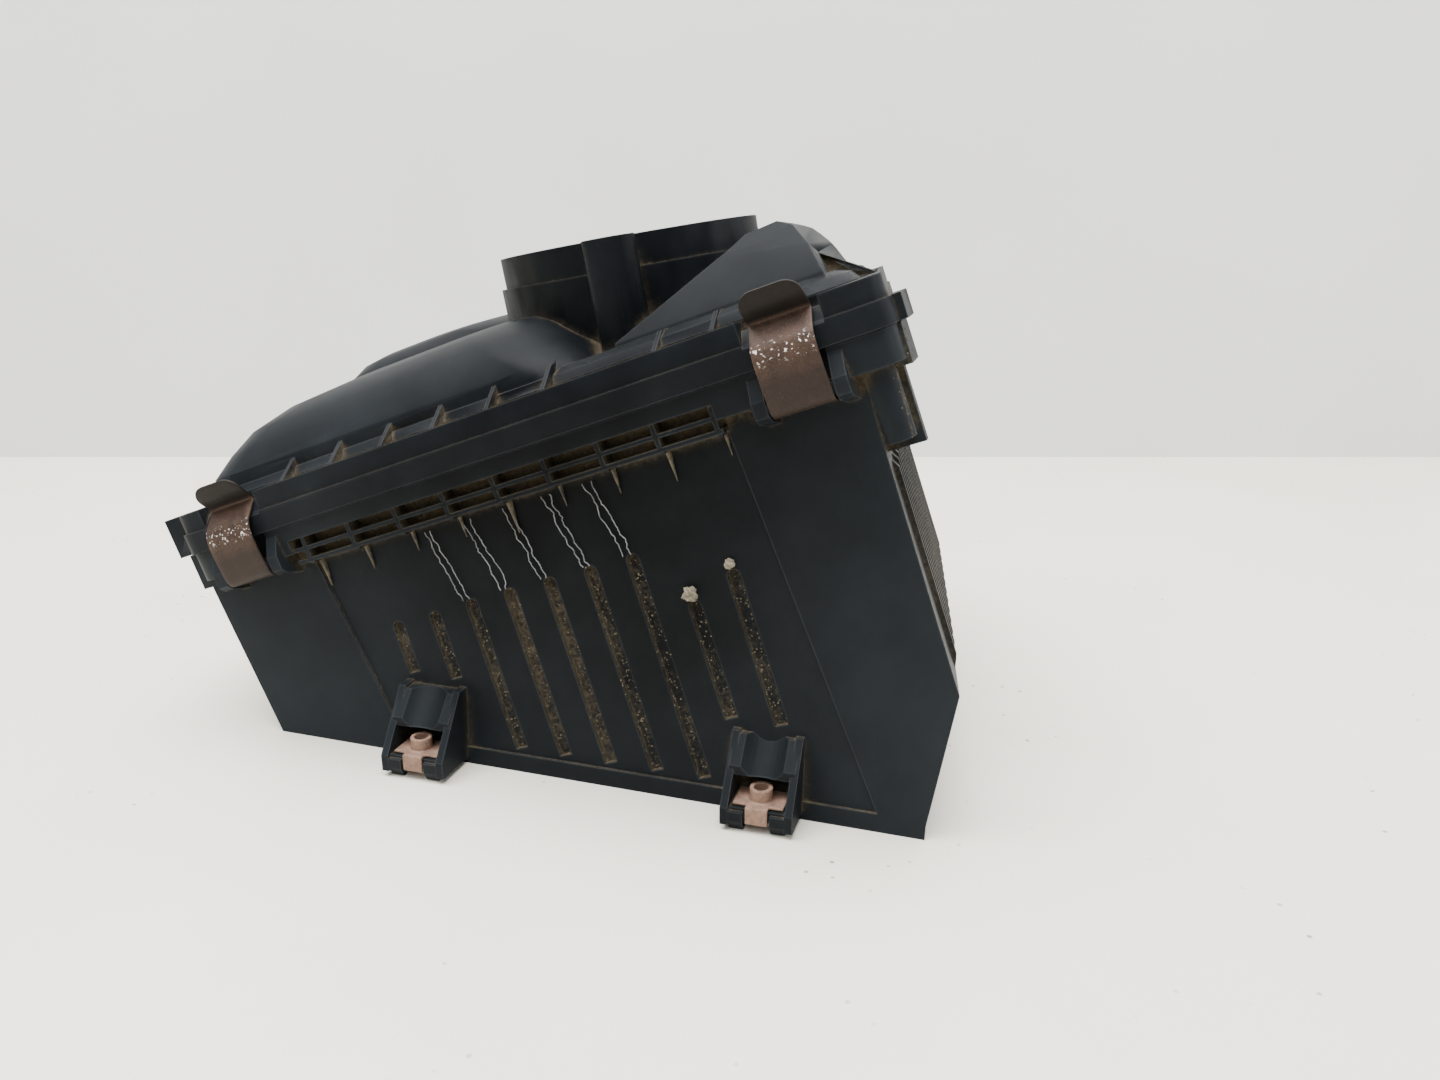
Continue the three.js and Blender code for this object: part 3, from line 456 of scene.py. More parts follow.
@dataclass(frozen=True)
class RustySteel:
    """Rolled spring steel under a brown film of rust, with darker oiled blotches, darker towards its foot,
    and pale flecks; the finger tab is painted nearly black as painted shade.
    """

    name: str
    film: str = "#403129"
    dark: str = "#1f1a17"
    bright: str = "#584438"
    blotch_mm: float = 4.5
    fleck_mm: float = 1.1
    pit_mm: float = 0.7
    clip_marks_and_tab_shade: bool = True  # the clip's flecks and darker foot, and its finger tab painted nearly black as painted shade, since the tab faces down away from the light

    def build(self) -> bpy.types.Material:
        """Builds the material."""
        material, tree, shader = start_material(self.name)
        place = in_plane(tree)
        blotches, pits = (add_node(tree, "ShaderNodeTexNoise", None, {
            "Vector": place, "Scale": 1 / (size * MM), "Detail": detail, "Roughness": rough})
            for size, detail, rough in ((self.blotch_mm, 8.0, 0.65), (self.pit_mm, 3.0, 0.5)))
        ramp = add_node(tree, "ShaderNodeMapRange", None, {
            "Value": blotches.outputs[0], "From Min": 0.2, "From Max": 0.62})
        rust = add_node(tree, "ShaderNodeMix", {"data_type": "RGBA"}, {
            0: ramp.outputs[0], 6: linear(self.dark), 7: linear(self.film)})
        high = add_node(tree, "ShaderNodeMapRange", None, {
            "Value": pits.outputs[0], "From Min": 0.5, "From Max": 0.75, "To Max": 0.6})
        warm = add_node(tree, "ShaderNodeMix", {"data_type": "RGBA"}, {
            0: high.outputs[0], 6: rust.outputs[2], 7: linear(self.bright)})
        colour = warm.outputs[2]
        if self.clip_marks_and_tab_shade:
            flecks = add_node(tree, "ShaderNodeTexNoise", None, {
                "Vector": place, "Scale": 1 / (self.fleck_mm * MM), "Detail": 2.0})
            speck = add_node(tree, "ShaderNodeMapRange", None, {
                "Value": flecks.outputs[0], "From Min": 0.62, "From Max": 0.66})
            at = add_node(tree, "ShaderNodeSeparateXYZ", None, {0: place})
            foot = add_node(tree, "ShaderNodeMapRange", None, {
                "Value": at.outputs[2], "From Min": 1.0 * MM, "From Max": -6.0 * MM, "To Max": 0.7})
            colour = add_node(tree, "ShaderNodeMix", {"data_type": "RGBA"}, {
                0: foot.outputs[0], 6: colour, 7: linear("#1f1b19")}).outputs[2]
            above = add_node(tree, "ShaderNodeMapRange", None, {
                "Value": at.outputs[2], "From Min": 0.0, "From Max": 3.0 * MM})
            below = add_node(tree, "ShaderNodeMapRange", None, {
                "Value": at.outputs[2], "From Min": 8.5 * MM, "From Max": 5.5 * MM})
            band = add_node(tree, "ShaderNodeMath", {"operation": "MULTIPLY"}, {
                0: above.outputs[0], 1: below.outputs[0]})
            pale = add_node(tree, "ShaderNodeMath", {"operation": "MULTIPLY"}, {
                0: speck.outputs[0], 1: band.outputs[0]})
            colour = add_node(tree, "ShaderNodeMix", {"data_type": "RGBA"}, {
                0: pale.outputs[0], 6: colour, 7: linear("#d8d4cc")}).outputs[2]
            # The finger tab is painted nearly black: painted shade, as it faces down away from the overhead
            # light.
            tab = add_node(tree, "ShaderNodeMapRange", None, {
                "Value": at.outputs[2], "From Min": 14.5 * MM, "From Max": 16.0 * MM})
            tab_shade = add_node(tree, "ShaderNodeMath", {"operation": "MULTIPLY"}, {
                0: tab.outputs[0], 1: 0.9})
            colour = add_node(tree, "ShaderNodeMix", {"data_type": "RGBA"}, {
                0: tab_shade.outputs[0], 6: colour, 7: linear("#0b0a09")}).outputs[2]
        rough = add_node(tree, "ShaderNodeMapRange", None, {
            "Value": blotches.outputs[0], "To Min": 0.42, "To Max": 0.72})
        bump = add_node(tree, "ShaderNodeBump", None, {
            "Height": pits.outputs[0], "Strength": 0.35, "Distance": 0.12 * MM})
        tree.links.new(colour, shader.inputs["Base Color"])
        tree.links.new(rough.outputs[0], shader.inputs["Roughness"])
        tree.links.new(bump.outputs[0], shader.inputs["Normal"])
        shader.inputs["Metallic"].default_value = 0.3
        shader.inputs["Specular IOR Level"].default_value = 0.2
        return material


@dataclass(frozen=True)
class NoisySurface:
    """A plain material whose colour, gloss and relief vary by two noises.

    Used for turned brass, moulded rubber, resin paper, cast polyurethane, card, glue and dried mud.
    """

    name: str
    low: str
    high: str
    rough: tuple[float, float]
    metallic: float = 0.0
    patch_mm: float = 12.0
    relief_mm: float = 0.8
    depth_mm: float = 0.1
    strength: float = 0.4

    def build(self) -> bpy.types.Material:
        """Builds the material."""
        material, tree, shader = start_material(self.name)
        place = in_plane(tree)
        patches, relief = (add_node(tree, "ShaderNodeTexNoise", None, {
            "Vector": place, "Scale": 1 / (size * MM), "Detail": detail, "Roughness": rough})
            for size, detail, rough in ((self.patch_mm, 6.0, 0.6), (self.relief_mm, 3.0, 0.5)))
        share = add_node(tree, "ShaderNodeMapRange", None, {
            "Value": patches.outputs[0], "From Min": 0.3, "From Max": 0.7})
        tone = add_node(tree, "ShaderNodeMix", {"data_type": "RGBA"}, {
            0: share.outputs[0], 6: linear(self.low), 7: linear(self.high)})
        gloss = add_node(tree, "ShaderNodeMapRange", None, {
            "Value": relief.outputs[0], "To Min": self.rough[0], "To Max": self.rough[1]})
        bump = add_node(tree, "ShaderNodeBump", None, {
            "Height": relief.outputs[0], "Strength": self.strength, "Distance": self.depth_mm * MM})
        tree.links.new(tone.outputs[2], shader.inputs["Base Color"])
        tree.links.new(gloss.outputs[0], shader.inputs["Roughness"])
        tree.links.new(bump.outputs[0], shader.inputs["Normal"])
        shader.inputs["Metallic"].default_value = self.metallic
        return material


class Finish(Enum):
    """The finishes of the housing, each a recipe for one material."""

    CASE = MouldedPlastic("moulded_polypropylene_case", grooved=True)
    COVER = MouldedPlastic("moulded_polypropylene_cover", base="#090b0d", bloom_and_painted_light="#2f3439",
                           settled=0.4, end_paling=0.15, foot_haze_and_painted_light=0.0)
    CLIP = RustySteel("rolled_spring_steel_rusted")
    NUT = RustySteel("pressed_spring_steel_rusted", film="#856a5b", bright="#a08878", dark="#5c4a40",
                     blotch_mm=4.0, clip_marks_and_tab_shade=False)
    BRASS = NoisySurface("turned_brass", "#8a6c36", "#b8965a", (0.25, 0.45), metallic=1.0)
    RUBBER = NoisySurface("moulded_epdm_rubber", "#161618", "#2a2a2c", (0.6, 0.85))
    PAPER = NoisySurface("pleated_resin_paper", "#a08a5e", "#c9b98f", (0.85, 0.98), relief_mm=0.5,
                         depth_mm=0.08, strength=0.6)
    SEAL = NoisySurface("cast_polyurethane_foam", "#9c5527", "#bb7038", (0.55, 0.8), relief_mm=1.0)
    CARD = NoisySurface("grey_card", "#b5ac97", "#cfc7b2", (0.85, 0.95), relief_mm=1.4)
    GLUE = NoisySurface("hot_melt_glue", "#cfc5a4", "#e6dec4", (0.25, 0.4), patch_mm=5.0)
    GRIT = NoisySurface("dry_road_grit", "#352f25", "#6e6450", (0.9, 1.0), patch_mm=3.0)
    MUD = NoisySurface("dried_road_mud", "#605a4c", "#8f8776", (0.9, 1.0), patch_mm=4.0,
                       relief_mm=0.5, depth_mm=0.3, strength=0.9)
    CAKED = NoisySurface("dust_caked_polypropylene", "#17171a", "#6a604d", (0.6, 0.95), patch_mm=3.0,
                         relief_mm=0.7, depth_mm=0.2)
    TRICKLE = NoisySurface("dried_water_trickle", "#3f4244", "#7d7f7f", (0.5, 0.8), patch_mm=5.0)


class Finishes:
    """Builds each finish once and hands it out."""

    def __init__(self) -> None:
        """Starts with no material built."""
        self.made: dict[Finish, bpy.types.Material] = {}

    def get(self, finish: Finish) -> bpy.types.Material:
        """Gives the material of a finish, building it the first time."""
        if finish not in self.made:
            self.made[finish] = finish.value.build()
        return self.made[finish]


# ---- shells made from the frame's solids ----
@dataclass
class SoftShell:
    """A moulded or pressed piece made from its solid, remeshed soft or kept crisp."""

    node: str
    body: str
    slot: str
    finish: Finish
    voxel_mm: float = 0.0
    smooth: int = 3
    most_triangles: int = 60_000
    edge_mm: float = 0.0  # for a crisp piece, not remeshed: the clamp leaves its edges nearly sharp

    def build(self, finishes: Finishes) -> bpy.types.Object:
        """Finishes a copy of the solid and stands it in the node's place.

        Args:
            finishes: where the material comes from.

        Returns:
            The finished piece.
        """
        mesh = frame["nodes"][self.node].data.copy()
        work = bmesh.new()
        work.from_mesh(mesh)
        bmesh.ops.remove_doubles(work, verts=work.verts, dist=0.02 * MM)
        work.to_mesh(mesh)
        work.free()
        mesh.transform(PLANE.matrix().inverted())
        piece = new_object(f"{self.node}_skin", mesh)
        if self.edge_mm:
            edge = piece.modifiers.new("edge", "BEVEL")
            edge.width = self.edge_mm * MM
            edge.segments = 2
            edge.limit_method = "ANGLE"
            edge.angle_limit = math.radians(28)
            edge.use_clamp_overlap = True
            edge.miter_outer = "MITER_ARC"
            settled(piece)
            soften(piece.data, 32)
            even = piece.modifiers.new("even", "WEIGHTED_NORMAL")
            even.keep_sharp = True
            settled(piece)
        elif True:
            remesh = piece.modifiers.new("round", "REMESH")
            remesh.mode = "VOXEL"
            remesh.voxel_size = self.voxel_mm * MM
            relax = piece.modifiers.new("relax", "SMOOTH")
            relax.factor = 0.5
            relax.iterations = self.smooth
            settled(piece)
            count = sum(len(p.vertices) - 2 for p in piece.data.polygons)
            if count > self.most_triangles:
                thin = piece.modifiers.new("thin", "DECIMATE")
                thin.ratio = self.most_triangles / count
                settled(piece)
        if not self.edge_mm:
            soften(piece.data, 32)
        piece.data.transform(PLANE.matrix())
        piece.data.materials.clear()
        piece.data.materials.append(finishes.get(self.finish))
        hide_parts(self.node)
        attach(piece, self.body)
        LOG.info("%s: %d faces", piece.name, len(piece.data.polygons))
        return piece


# ---- clips ----
@dataclass
class SpringClip:
    """A strip of spring steel curled round its crossbar, hooked over the rim, with a finger tab."""

    name: str
    at_back: bool
    width: float = 22.5
    thick: float = 0.9
    curl: float = 3.6
    corner: float = 6.0
    steps: int = 5
    columns: int = 8
    depth: float = 215.0
    rise: list = field(default_factory=lambda: [
        (-4.3, -8.5), (-4.7, -1.0), (-4.5, 3.0), (-3.3, 6.5), (-1.4, 8.6), (4.0, 13.4), (4.65, 14.5),
        (4.1, 15.7), (0.4, 19.6), (-1.5, 23.4), (-2.3, 25.2)])

    def line(self) -> list[Vector]:
        """Gives the strip's middle line, from the curl's end to the tab's tip, as (y, k) points."""
        turns = [math.radians(60 - i * 10) for i in range(24)]
        points = [Vector((self.curl * math.cos(a), PLANE.clip_k + self.curl * math.sin(a))) for a in turns]
        knots = [points[-1]] + [Vector(p) for p in self.rise]
        for i in range(len(knots) - 1):
            before = knots[max(i - 1, 0)]
            after = knots[min(i + 2, len(knots) - 1)]
            for j in range(1, self.steps + 1):
                t = j / self.steps
                ends = knots[i] * (1 - t) + knots[i + 1] * t
                leave = (knots[i] - before) * (t * (1 - t) ** 2 / 2)
                reach = (knots[i + 1] - after) * (t * t * (1 - t) / 2)
                points.append(ends + (leave + reach) * 0.6)
        return points

    def build(self, finishes: Finishes) -> bpy.types.Object:
        """Builds the strip and stands it in its node's place."""
        joint = next(j for j in frame["joints"] if j["name"] == f"{self.name}_swing")
        middle = (Vector(joint["pos_m"]) - PLANE.origin).dot(PLANE.along) / MM
        line = self.line()
        left = [0.0]
        for a, b in zip(reversed(line[1:]), reversed(line[:-1])):
            left.append(left[-1] + (a - b).length)
        left.reverse()
        points, faces = [], []
        for spot, to_tip in zip(line, left):
            off = max(self.corner - to_tip, 0.0)
            half = self.width / 2 - self.corner + math.sqrt(max(self.corner ** 2 - off ** 2, 0.01))
            for c in range(self.columns + 1):
                across = (c / self.columns * 2 - 1) * half
                y = self.depth - spot.x if self.at_back else spot.x
                points.append(PLANE.point(middle + across, y, spot.y))
        row = self.columns + 1
        for i in range(len(line) - 1):
            for c in range(self.columns):
                a = i * row + c
                faces.append((a, a + 1, a + row + 1, a + row))
        piece = new_object(f"{self.name}_strip", mesh_of(self.name, points, faces))
        wall = piece.modifiers.new("sheet", "SOLIDIFY")
        wall.thickness = self.thick * MM
        wall.offset = 0.0
        wall.use_even_offset = True
        edge = piece.modifiers.new("edge", "BEVEL")
        edge.width = 0.22 * MM
        edge.segments = 2
        edge.limit_method = "ANGLE"
        edge.angle_limit = math.radians(50)
        settled(piece)
        work = bmesh.new()
        work.from_mesh(piece.data)
        bmesh.ops.recalc_face_normals(work, faces=work.faces)
        work.to_mesh(piece.data)
        work.free()
        soften(piece.data, 40)
        piece.data.materials.append(finishes.get(Finish.CLIP))
        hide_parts(self.name)
        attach(piece, self.name)
        LOG.info("%s: %d faces", piece.name, len(piece.data.polygons))
        return piece


# ---- what the road left on the case ----
@dataclass
class RoadDirt:
    """Caked rib ends, dried trickles, clods and grit on the case."""

    tail_mm: float = 13.0
    root_mm: float = 2.0
    trickles: int = 5
    trickle_fall_mm: float = 30.0
    strands: tuple = (("trickles_left", -1.6, 3.0), ("trickles_right", 1.4, 11.0))  # shift, seed
    floor_mm: tuple = (2.6, 4.2)  # how deep the groove floors lie that grit settles on
    grain_size: tuple = (0.16, 0.42)
    clods: tuple = ((199.2, -69.8, 2.7), (217.3, -62.8, 1.9))
    grains_each_m2: float = 700_000.0
    seed: int = 7

    def build(self, finishes: Finishes) -> None:
        """Builds every kind of dirt and lets it ride with the case."""
        pieces = [grow("rib_tails", self.tail_tree(), {
            "Step": (WALL.rib_pitch * MM, 0.0, 0.0), "Count": WALL.ribs,
            "Start": WALL.spot(WALL.rib_first, WALL.rail + 1.5, -0.4), "Length": self.tail_mm * MM,
            "Root": self.root_mm * MM, "Turn": WALL.down, "Material": finishes.get(Finish.CAKED)})]
        trickles = self.trickle_tree()
        first = WALL.groove_first + 1.6 * WALL.groove_pitch
        fall = self.trickle_fall_mm
        for name, shift, seed in self.strands:
            pieces.append(grow(name, trickles, {
                "Step": (WALL.groove_pitch * MM, 0.0, 0.0), "Count": self.trickles,
                "Start": WALL.spot(first + shift, WALL.rail - 2, 0.02),
                "Drop": (0.35 * WALL.groove_pitch * MM, -WALL.lean * fall * MM, -fall * MM),
                "Wander": 7.0 * MM, "Thick": 0.22 * MM, "Seed": seed,
                "Material": finishes.get(Finish.TRICKLE)}))
        clod = self.clod_tree()
        for i, (s, k, radius) in enumerate(self.clods):
            pieces.append(grow(f"mud_clod_{i + 1}", clod, {
                "Place": WALL.spot(s, k, -0.7), "Radius": radius * MM, "Rough": radius * 2.6 * MM,
                "Seed": float(i), "Material": finishes.get(Finish.MUD)}))
        pieces.append(self.grit(finishes))
        for piece in pieces:
            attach(piece, "case")

    def row(self, tree: bpy.types.NodeTree, given: bpy.types.Node) -> bpy.types.Node:
        """Adds a row of places from a tree's Count, Start and Step inputs."""
        return add_node(tree, "GeometryNodeMeshLine", {"mode": "OFFSET"}, {
            "Count": given.outputs["Count"], "Start Location": given.outputs["Start"],
            "Offset": given.outputs["Step"]})

    def tail_tree(self) -> bpy.types.NodeTree:
        """Makes the tree that sets a pointed tail under each rib of a row."""
        tree, given = geometry_tree("rib tails", {
            "Count": "Int", "Start": "Vector", "Step": "Vector", "Length": "Float", "Root": "Float",
            "Turn": "Float"})
        spots = self.row(tree, given)
        tail = add_node(tree, "GeometryNodeMeshCone", None, {
            "Vertices": 12, "Side Segments": 5, "Radius Top": 0.25 * MM,
            "Radius Bottom": given.outputs["Root"], "Depth": given.outputs["Length"]})
        turn = add_node(tree, "ShaderNodeCombineXYZ", None, {0: given.outputs["Turn"]})
        laid = add_node(tree, "GeometryNodeTransform", None, {
            "Geometry": tail.outputs[0], "Rotation": turn.outputs[0], "Scale": (0.55, 1.0, 1.0)})
        size = add_node(tree, "FunctionNodeRandomValue", {"data_type": "FLOAT"}, {
            2: 0.72, 3: 1.12, "Seed": self.seed})
        stood = add_node(tree, "GeometryNodeInstanceOnPoints", None, {
            "Points": spots.outputs[0], "Instance": laid.outputs[0], "Scale": size.outputs[1]})
        end_tree(tree, given, stood.outputs[0])
        return tree

    def trickle_tree(self) -> bpy.types.NodeTree:
        """Makes the tree that lets thin dried lines wander down the wall from a row of places."""
        tree, given = geometry_tree("trickles", {
            "Count": "Int", "Start": "Vector", "Step": "Vector", "Drop": "Vector", "Wander": "Float",
            "Thick": "Float", "Seed": "Float"})
        spots = self.row(tree, given)
        path = add_node(tree, "GeometryNodeMeshLine", {"mode": "END_POINTS"}, {
            "Count": 56, "Offset": given.outputs["Drop"]})
        rows = add_node(tree, "GeometryNodeInstanceOnPoints", None, {
            "Points": spots.outputs[0], "Instance": path.outputs[0]})
        real = add_node(tree, "GeometryNodeRealizeInstances", None, {0: rows.outputs[0]})
        noise = add_node(tree, "ShaderNodeTexNoise", {"noise_dimensions": "4D"}, {
            "W": given.outputs["Seed"], "Scale": 130.0, "Detail": 4.0, "Roughness": 0.62})
        aside = add_node(tree, "ShaderNodeMath", {"operation": "SUBTRACT"}, {
            0: noise.outputs[0], 1: 0.5})
        reach = add_node(tree, "ShaderNodeMath", {"operation": "MULTIPLY"}, {
            0: aside.outputs[0], 1: given.outputs["Wander"]})
        shift = add_node(tree, "ShaderNodeCombineXYZ", None, {0: reach.outputs[0]})
        bent = add_node(tree, "GeometryNodeSetPosition", None, {
            "Geometry": real.outputs[0], "Offset": shift.outputs[0]})
        curve = add_node(tree, "GeometryNodeMeshToCurve", None, {0: bent.outputs[0]})
        rim = add_node(tree, "GeometryNodeCurvePrimitiveCircle", None, {
            "Resolution": 6, "Radius": given.outputs["Thick"]})
        line = add_node(tree, "GeometryNodeCurveToMesh", None, {
            "Curve": curve.outputs[0], "Profile Curve": rim.outputs[0], "Fill Caps": True})
        end_tree(tree, given, line.outputs[0])
        return tree

    def clod_tree(self) -> bpy.types.NodeTree:
        """Makes the tree for a lump of dried mud stuck to the wall."""
        tree, given = geometry_tree("mud clod", {
            "Place": "Vector", "Radius": "Float", "Rough": "Float", "Seed": "Float"})
        ball = add_node(tree, "GeometryNodeMeshIcoSphere", None, {
            "Radius": given.outputs["Radius"], "Subdivisions": 5})
        noise = add_node(tree, "ShaderNodeTexNoise", {"noise_dimensions": "4D"}, {
            "W": given.outputs["Seed"], "Scale": 520.0, "Detail": 5.0, "Roughness": 0.7})
        push = add_node(tree, "ShaderNodeMath", {"operation": "SUBTRACT"}, {
            0: noise.outputs[0], 1: 0.5})
        far = add_node(tree, "ShaderNodeMath", {"operation": "MULTIPLY"}, {
            0: push.outputs[0], 1: given.outputs["Rough"]})
        normal = add_node(tree, "GeometryNodeInputNormal")
        out = add_node(tree, "ShaderNodeVectorMath", {"operation": "SCALE"}, {
            0: normal.outputs[0], "Scale": far.outputs[0]})
        rough = add_node(tree, "GeometryNodeSetPosition", None, {
            "Geometry": ball.outputs[0], "Offset": out.outputs[0]})
        placed = add_node(tree, "GeometryNodeTransform", None, {
            "Geometry": rough.outputs[0], "Translation": given.outputs["Place"],
            "Scale": (1.0, 0.8, 0.95)})
        end_tree(tree, given, placed.outputs[0])
        return tree

    def grit(self, finishes: Finishes) -> bpy.types.Object:
        """Scatters grains over the floors of the grooves and the pockets of the rib grid."""
        mesh = frame["nodes"]["lower_case"].data.copy()
        mesh.transform(PLANE.matrix().inverted())
        tree, given = geometry_tree("grit", {
            "Each Square Metre": "Float", "Seed": "Int"})
        start = tree.interface.new_socket("Walls", in_out="INPUT", socket_type="NodeSocketGeometry")
        tree.interface.move(start, 0)
        place = add_node(tree, "GeometryNodeInputPosition")
        at = add_node(tree, "ShaderNodeSeparateXYZ", None, {0: place.outputs[0]})
        deep = WALL.depth(tree, at)
        sunk = add_node(tree, "FunctionNodeCompare", {"operation": "GREATER_THAN"}, {
            0: deep, 1: self.floor_mm[0] * MM})
        shallow = add_node(tree, "FunctionNodeCompare", {"operation": "LESS_THAN"}, {
            0: deep, 1: self.floor_mm[1] * MM})
        floor = add_node(tree, "FunctionNodeBooleanMath", {"operation": "AND"}, {
            0: sunk.outputs[0], 1: shallow.outputs[0]})
        thick = add_node(tree, "ShaderNodeMapRange", None, {
            "Value": at.outputs[2], "From Min": -0.045, "From Max": -0.14, "To Min": 0.35, "To Max": 1.0})
        clumps = add_node(tree, "ShaderNodeTexNoise", None, {"Scale": 240.0, "Detail": 3.0})
        patchy = add_node(tree, "ShaderNodeMapRange", None, {
            "Value": clumps.outputs[0], "From Min": 0.38, "From Max": 0.62})
        share = add_node(tree, "ShaderNodeMath", {"operation": "MULTIPLY"}, {
            0: thick.outputs[0], 1: patchy.outputs[0]})
        each = add_node(tree, "ShaderNodeMath", {"operation": "MULTIPLY"}, {
            0: share.outputs[0], 1: given.outputs["Each Square Metre"]})
        spots = add_node(tree, "GeometryNodeDistributePointsOnFaces", None, {
            "Mesh": given.outputs["Walls"], "Selection": floor.outputs[0],
            "Density": each.outputs[0], "Seed": given.outputs["Seed"]})
        grain = add_node(tree, "GeometryNodeMeshIcoSphere", None, {
            "Radius": 1.0 * MM, "Subdivisions": 1})
        size = add_node(tree, "FunctionNodeRandomValue", {"data_type": "FLOAT"}, {
            2: self.grain_size[0], 3: self.grain_size[1], "Seed": self.seed})
        stood = add_node(tree, "GeometryNodeInstanceOnPoints", None, {
            "Points": spots.outputs[0], "Instance": grain.outputs[0], "Scale": size.outputs[1]})
        end_tree(tree, given, stood.outputs[0])
        return grow("grit", tree, {
            "Each Square Metre": self.grains_each_m2, "Seed": self.seed,
            "Material": finishes.get(Finish.GRIT)}, start=mesh)


# ---- the housing's sub-assemblies ----
@dataclass
class Housing:
    """The two mouldings with the pieces fixed to them."""

    def build(self, finishes: Finishes) -> None:
        """Builds the shells, clips, nuts, inserts and ring."""
        SoftShell("lower_case", "case", "case_plastic", Finish.CASE, edge_mm=0.45).build(finishes)
        SoftShell("upper_cover", "cover", "cover_plastic", Finish.COVER, edge_mm=0.45).build(finishes)
        for side in ("left", "right"):
            SoftShell(f"clip_nut_{side}", "case", "nut_steel", Finish.NUT, 0.35,
                      most_triangles=40_000).build(finishes)
            for end in ("front", "rear"):
                SpringClip(f"clip_{end}_{side}", end == "rear").build(finishes)
        for end in ("front", "rear"):
            dress(f"boss_insert_{end}", Finish.BRASS, finishes)
        dress("inlet_seal", Finish.RUBBER, finishes)
        RoadDirt().build(finishes)


@dataclass
class PleatedMedia:
    """Filter paper folded into upright pleats, their folds running from front to back."""

    node: str = "filter_media"
    pleats: int = 26
    steps: int = 12
    paper_mm: float = 0.8
    fold_share: float = 0.12  # how much of a pleat its rounded folds take up

    def build(self, finishes: Finishes) -> None:
        """Folds the paper within the solid's corners and stands it in the node's place."""
        points = plane_points(self.node)
        front, back = (pick(p.y for p in points) for pick in (min, max))
        ends = {}
        for label, y in (("Front", front), ("Back", back)):
            row = [p.x for p in points if abs(p.y - y) < 0.5]
            ends[f"{label} Left"] = (min(row) + self.paper_mm / 2) * MM
            ends[f"{label} Right"] = (max(row) - self.paper_mm / 2) * MM
        piece = grow(f"{self.node}_pleats", self.tree(), {
            **ends, "Pleats": self.pleats, "Steps": self.steps, "Front": front * MM, "Back": back * MM,
            "Top": (max(p.z for p in points) - self.paper_mm / 2) * MM,
            "Bottom": (min(p.z for p in points) + self.paper_mm / 2) * MM,
            "Fold Share": self.fold_share, "Material": finishes.get(Finish.PAPER)},
            sheet_mm=self.paper_mm)
        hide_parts(self.node)
        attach(piece, "filter")

    def tree(self) -> bpy.types.NodeTree:
        """Makes the tree that folds a flat grid into pleats."""
        tree, given = geometry_tree("pleats", {
            "Pleats": "Int", "Steps": "Int", "Front": "Float", "Back": "Float", "Front Left": "Float",
            "Front Right": "Float", "Back Left": "Float", "Back Right": "Float", "Top": "Float",
            "Bottom": "Float", "Fold Share": "Float"})
        columns = add_node(tree, "ShaderNodeMath", {"operation": "MULTIPLY_ADD"}, {
            0: given.outputs["Pleats"], 1: given.outputs["Steps"], 2: 1.0})
        flat = add_node(tree, "GeometryNodeMeshGrid", None, {
            "Size X": 1.0, "Size Y": 1.0, "Vertices X": columns.outputs[0], "Vertices Y": 9})
        place = add_node(tree, "GeometryNodeInputPosition")
        halved = add_node(tree, "ShaderNodeVectorMath", {"operation": "ADD"}, {
            0: place.outputs[0], 1: (0.5, 0.5, 0.0)})
        share = add_node(tree, "ShaderNodeSeparateXYZ", None, {0: halved.outputs[0]})
        left, right, back = (add_node(tree, "ShaderNodeMix", {"data_type": "FLOAT"}, {
            0: share.outputs[1], 2: given.outputs[f"Front{end}"], 3: given.outputs[f"Back{end}"]})
            for end in (" Left", " Right", ""))
        along = add_node(tree, "ShaderNodeMix", {"data_type": "FLOAT"}, {
            0: share.outputs[0], 2: left.outputs[0], 3: right.outputs[0]})
        turn = add_node(tree, "ShaderNodeMath", {"operation": "MULTIPLY"}, {
            0: share.outputs[0], 1: given.outputs["Pleats"]})
        fold = add_node(tree, "ShaderNodeMath", {"operation": "PINGPONG"}, {0: turn.outputs[0], 1: 0.5})
        first = add_node(tree, "ShaderNodeMath", {"operation": "MULTIPLY"}, {
            0: given.outputs["Fold Share"], 1: 0.5})
        last = add_node(tree, "ShaderNodeMath", {"operation": "SUBTRACT"}, {0: 0.5, 1: first.outputs[0]})
        height = add_node(tree, "ShaderNodeMapRange", None, {
            "Value": fold.outputs[0], "From Min": first.outputs[0], "From Max": last.outputs[0],
            "To Min": given.outputs["Top"], "To Max": given.outputs["Bottom"]})
        spot = add_node(tree, "ShaderNodeCombineXYZ", None, {
            0: along.outputs[0], 1: back.outputs[0], 2: height.outputs[0]})
        folded = add_node(tree, "GeometryNodeSetPosition", None, {
            "Geometry": flat.outputs[0], "Position": spot.outputs[0]})
        end_tree(tree, given, folded.outputs[0])
        return tree


@dataclass
class PanelFilter:
    """The pleated filter that lies between the flanges."""

    def build(self, finishes: Finishes) -> None:
        """Dresses the filter's pieces."""
        SoftShell("filter_seal", "filter", "filter_rim", Finish.SEAL, 1.2).build(finishes)
        PleatedMedia().build(finishes)
        for end in ("front", "rear"):
            dress(f"filter_strip_{end}", Finish.CARD, finishes)
        for i in (1, 2, 3):
            dress(f"pleat_bead_{i}", Finish.GLUE, finishes)


def dress(node: str, finish: Finish, finishes: Finishes) -> None:
    """Gives a solid of the frame its finish, and leaves its shape alone."""
    made = frame["nodes"][node]
    made.data.materials.clear()
    made.data.materials.append(finishes.get(finish))
    made.data.polygons.foreach_set("material_index", [0] * len(made.data.polygons))
    LOG.info("%s: dressed", node)


